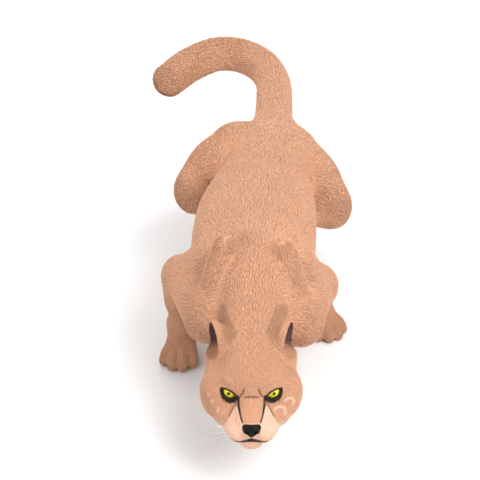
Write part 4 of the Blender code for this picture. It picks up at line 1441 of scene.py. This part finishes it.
def whisker(root, towards, droop, length, radius, rings=9):
    """(points, quads) of one whisker: a three-sided taper that bends under its weight."""
    share = np.linspace(0.0, 1.0, rings)[:, None]
    line = root + towards * length * share + droop * length * share**2
    side = unit(np.cross(towards, vec(0.0, 0.0, 1.0)))
    rise = np.cross(side, towards)
    turns = np.arange(3) * (2 * math.pi / 3)
    ring = np.cos(turns)[:, None] * side + np.sin(turns)[:, None] * rise
    width = radius * (1.0 - 0.92 * share)
    points = (line[:, None, :] + ring[None] * width[:, :, None]).reshape(-1, 3)
    quads = [
        (3 * k + a, 3 * k + (a + 1) % 3, 3 * k + 3 + (a + 1) % 3, 3 * k + 3 + a)
        for k in range(rings - 1)
        for a in range(3)
    ]
    ends = np.array([(2, 1, 0), (3 * rings - 3, 3 * rings - 2, 3 * rings - 1)])
    return points, np.array(quads), ends


def whisker_roots(sign):
    """(root, direction, length share) of one side's whiskers: rows on the pad, and a few over the eye."""
    rows = []
    for row, up in enumerate((-0.043, -0.0485, -0.054, -0.0595)):
        for step in range(5):
            forward = 0.054 - 0.0075 * step - 0.002 * (row % 2)
            out = 0.026 + 0.0035 * step
            heading = vec(sign * (0.70 + 0.05 * step), -0.05 - 0.16 * step, 0.10 - 0.13 * row)
            rows.append(((sign * out, forward, up), heading, 0.60 + 0.10 * step))
    for step in range(3):
        heading = vec(sign * (0.25 + 0.25 * step), -0.2, 0.9)
        rows.append(((sign * (0.028 + 0.006 * step), 0.006, 0.020), heading, 0.34))
    return rows


def whisker_material():
    material, tree, shader = new_material("whisker_horn", (0.82, 0.76, 0.68), 0.35, Specular_IOR_Level=0.5)
    tones = [(0.3, (0.70, 0.62, 0.54)), (0.7, (0.90, 0.86, 0.80))]
    tinted(tree, shader, ramp_of(tree, noise_of(tree, object_place(tree), 60.0, 2.0), tones))
    return material


def build_whiskers(settings):
    """Fine pale whiskers, each rooted where its line meets the skin."""
    generator = np.random.default_rng(settings.seed + 1)
    forms = head_forms()
    points, quads, ends, count = [], [], [], 0
    for sign in SIDES.values():
        for place, heading, share in whisker_roots(sign):
            towards = unit(heading @ head_axes() + generator.normal(0.0, 0.05, 3))
            inside = on_head(place[0] * 0.7, place[1] - 0.008, place[2])
            steps = inside + unit(on_head(*place) - inside) * np.linspace(0.0, 0.05, 101)[:, None]
            depth = depth_at(forms, *steps.T, steps.min(axis=0), steps.max(axis=0))
            root = steps[np.argmax(depth > -0.002)]
            length = settings.whisker_length * share * generator.uniform(0.85, 1.1)
            thickness = settings.whisker_radius * min(1.0, share + 0.1)
            made = whisker(root, towards, vec(0.0, 0.10, -0.22), length, thickness)
            points.append(made[0])
            quads.append(made[1] + count)
            ends.append(made[2] + count)
            count += len(made[0])
    piece = mesh_piece("whiskers", np.vstack(points), [np.vstack(quads), np.vstack(ends)])
    piece.data.materials.append(whisker_material())


def floor_material(settings):
    base = toned(settings.floor_colour)
    material, tree, shader = new_material("floor_paper", base, 0.9, Specular_IOR_Level=0.1)
    grain = noise_of(tree, object_place(tree), 90.0, 3.0)
    tinted(tree, shader, ramp_of(tree, grain, [(0.3, toned(base, 0.985)), (0.7, base)]))
    return material


def build_floor(settings):
    half = settings.floor_size / 2
    mesh = bpy.data.meshes.new("floor")
    corners = [(x * half, y * half, -FLOOR_DROP) for x, y in ((-1, -1), (1, -1), (1, 1), (-1, 1))]
    mesh.from_pydata(corners, [], [(0, 1, 2, 3)])
    floor = bpy.data.objects.new("floor", mesh)
    floor.data.materials.append(floor_material(settings))
    bpy.context.scene.collection.objects.link(floor)


def area_light(name, place, aim, size, watts):
    light = bpy.data.lights.new(name, "AREA")
    light.size = size
    light.energy = watts
    lamp = bpy.data.objects.new(name, light)
    lamp.location = place
    lamp.rotation_euler = (Vector(aim) - Vector(place)).to_track_quat("-Z", "Y").to_euler()
    bpy.context.scene.collection.objects.link(lamp)


def build_lights(settings):
    """Soft studio light: a key, a fill, one from behind, and an even white sky."""
    middle = (0.0, 0.0, 0.25)
    area_light("key", (1.9, -1.6, 3.0), middle, 2.2, settings.key_watts)
    area_light("fill", (-2.6, -1.8, 2.0), middle, 2.8, settings.key_watts * 0.30)
    area_light("back", (-0.8, 2.9, 2.6), middle, 2.2, settings.key_watts * 0.45)
    world = bpy.data.worlds.new("studio")
    world.use_nodes = True
    background = world.node_tree.nodes["Background"]
    background.inputs["Color"].default_value = (1.0, 1.0, 1.0, 1.0)
    background.inputs["Strength"].default_value = settings.world_strength
    bpy.context.scene.world = world
    bpy.context.scene.view_settings.view_transform = "Standard"


def build_camera(settings):
    """The picture's view: from in front and above, framed as the picture is."""
    camera = bpy.data.cameras.new("camera")
    camera.sensor_width = 36.0
    camera.lens = settings.camera_lens
    rise = math.radians(settings.camera_elevation)
    back = Vector((0.0, -math.cos(rise), math.sin(rise)))
    aim = Vector(CAMERA_AIM) + Vector(design_shift())
    holder = bpy.data.objects.new("camera", camera)
    holder.location = aim + back * settings.camera_distance
    holder.rotation_mode = "QUATERNION"
    holder.rotation_quaternion = (-back).to_track_quat("-Z", "Y")
    bpy.context.scene.collection.objects.link(holder)
    bpy.context.scene.camera = holder


def size_setting(name, about, value, low, high):
    return bpy.props.FloatProperty(
        name=name, description=about, default=value, min=low, max=high, unit="LENGTH", precision=5
    )


def colour_setting(name, about, value):
    return bpy.props.FloatVectorProperty(
        name=name, description=about, default=value, size=3, subtype="COLOR", min=0.0, max=1.0
    )


def share_setting(name, about, value, low, high):
    return bpy.props.FloatProperty(name=name, description=about, default=value, min=low, max=high)


class CougarLooks(bpy.types.PropertyGroup):
    """Sizes and colours of the cougar's looks."""

    body_voxel: size_setting("Body voxel", "Grid under the body's skin", 0.004, 0.002, 0.02)
    face_voxel: size_setting("Face voxel", "Grid under the head's skin", 0.0017, 0.001, 0.01)
    nose_voxel: size_setting("Nose voxel", "Grid under the nose", 0.0009, 0.0004, 0.005)
    tuft_spacing: share_setting(
        "Tuft spacing", "Distance between tufts, as a share of the usual", 1.0, 0.5, 6.0
    )
    tuft_length: share_setting("Tuft length", "Length of the tufts, as a share of the usual", 1.0, 0.3, 3.0)
    tuft_width: share_setting("Tuft width", "Width of the tufts, as a share of the usual", 1.0, 0.3, 3.0)
    whisker_length: size_setting("Whisker length", "Length of the longest whiskers", 0.085, 0.02, 0.2)
    whisker_radius: size_setting("Whisker radius", "Radius of a whisker's root", 0.00038, 0.0001, 0.002)
    # Darkens the skin between the tufts: partly the darker base of the hairs, partly painted shade between
    # the tufts
    skin_hair_base_and_shade: share_setting(
        "Skin shade", "How light the skin between the tufts is against them", 0.88, 0.1, 1.0
    )
    coat_colour: colour_setting("Coat", "Tan of the back, flanks, legs and tail", (0.700, 0.370, 0.222))
    pale_colour: colour_setting("Pale", "Cream of the muzzle, chin and belly", (0.940, 0.610, 0.448))
    # Also the colour of the painted shade in the folds of the face
    dark_colour: colour_setting("Dark", "Near black of the eye rims, lips and soles", (0.018, 0.011, 0.009))
    # The ear cup colour is painted shade: the purple brown of the shadow in the ears' hollows
    ear_cup_shade_colour: colour_setting("Ear cup", "Purple brown of the inside of the ears", (0.150, 0.075, 0.072))
    iris_colour: colour_setting("Iris", "Yellow of the eyes", (0.900, 0.800, 0.020))
    nose_colour: colour_setting("Nose", "Black of the nose leather", (0.008, 0.006, 0.006))
    floor_colour: colour_setting("Floor", "Pale grey of the floor", (0.70, 0.70, 0.70))
    floor_size: size_setting("Floor size", "Side of the floor", 16.0, 2.0, 60.0)
    camera_distance: size_setting("Camera distance", "From the camera to what it looks at", 3.0, 1.0, 20.0)
    camera_elevation: share_setting(
        "Camera elevation", "Height of the camera above the horizon, in degrees", 33.0, 1.0, 89.0
    )
    camera_lens: share_setting(
        "Camera lens", "Focal length on a 36 mm sensor, in millimetres", 86.25, 20.0, 300.0
    )
    key_watts: share_setting("Key light", "Power of the main light, in watts", 140.0, 0.0, 2000.0)
    world_strength: share_setting("Sky light", "Strength of the even light from all round", 0.97, 0.0, 10.0)
    seed: bpy.props.IntProperty(name="Seed", description="Start of the random draws", default=7, min=0)


class CougarOperator:
    """What the operators share: each calls one builder with the scene's settings."""

    bl_options = {"REGISTER", "UNDO"}

    def execute(self, context):
        for build in self.builders:
            build(context.scene.cougar_looks)
        return {"FINISHED"}


class COUGAR_OT_skin(CougarOperator, bpy.types.Operator):
    """Build the one skin that takes the place of the solids' flesh"""

    bl_idname = "cougar.skin"
    bl_label = "Skin"
    builders = (build_skin,)


class COUGAR_OT_coat(CougarOperator, bpy.types.Operator):
    """Cover the skin with tufts of fur"""

    bl_idname = "cougar.coat"
    bl_label = "Coat"
    builders = (build_coat,)


class COUGAR_OT_face(CougarOperator, bpy.types.Operator):
    """Build the eyes, the nose and the whiskers"""

    bl_idname = "cougar.face"
    bl_label = "Eyes, nose and whiskers"
    builders = (build_eyes, build_nose, build_whiskers)


class COUGAR_OT_stage(CougarOperator, bpy.types.Operator):
    """Build the floor, the lights and the camera"""

    bl_idname = "cougar.stage"
    bl_label = "Stage"
    builders = (build_floor, build_lights, build_camera)


OPERATORS = (COUGAR_OT_skin, COUGAR_OT_coat, COUGAR_OT_face, COUGAR_OT_stage)


class COUGAR_PT_looks(bpy.types.Panel):
    """The cougar's settings and steps in the sidebar"""

    bl_idname = "COUGAR_PT_looks"
    bl_label = "Cougar"
    bl_space_type = "VIEW_3D"
    bl_region_type = "UI"
    bl_category = "Cougar"

    def draw(self, context):
        column = self.layout.column()
        for name in CougarLooks.__annotations__:
            column.prop(context.scene.cougar_looks, name)
        for operator in OPERATORS:
            column.operator(operator.bl_idname)


CLASSES = (CougarLooks, *OPERATORS, COUGAR_PT_looks)


def register():
    for item in CLASSES:
        bpy.utils.register_class(item)
    bpy.types.Scene.cougar_looks = bpy.props.PointerProperty(type=CougarLooks)


def unregister():
    del bpy.types.Scene.cougar_looks
    for item in reversed(CLASSES):
        bpy.utils.unregister_class(item)


def main():
    register()
    bpy.ops.cougar.skin()
    bpy.ops.cougar.coat()
    bpy.ops.cougar.face()
    bpy.ops.cougar.stage()


if __name__ == "__main__":
    main()
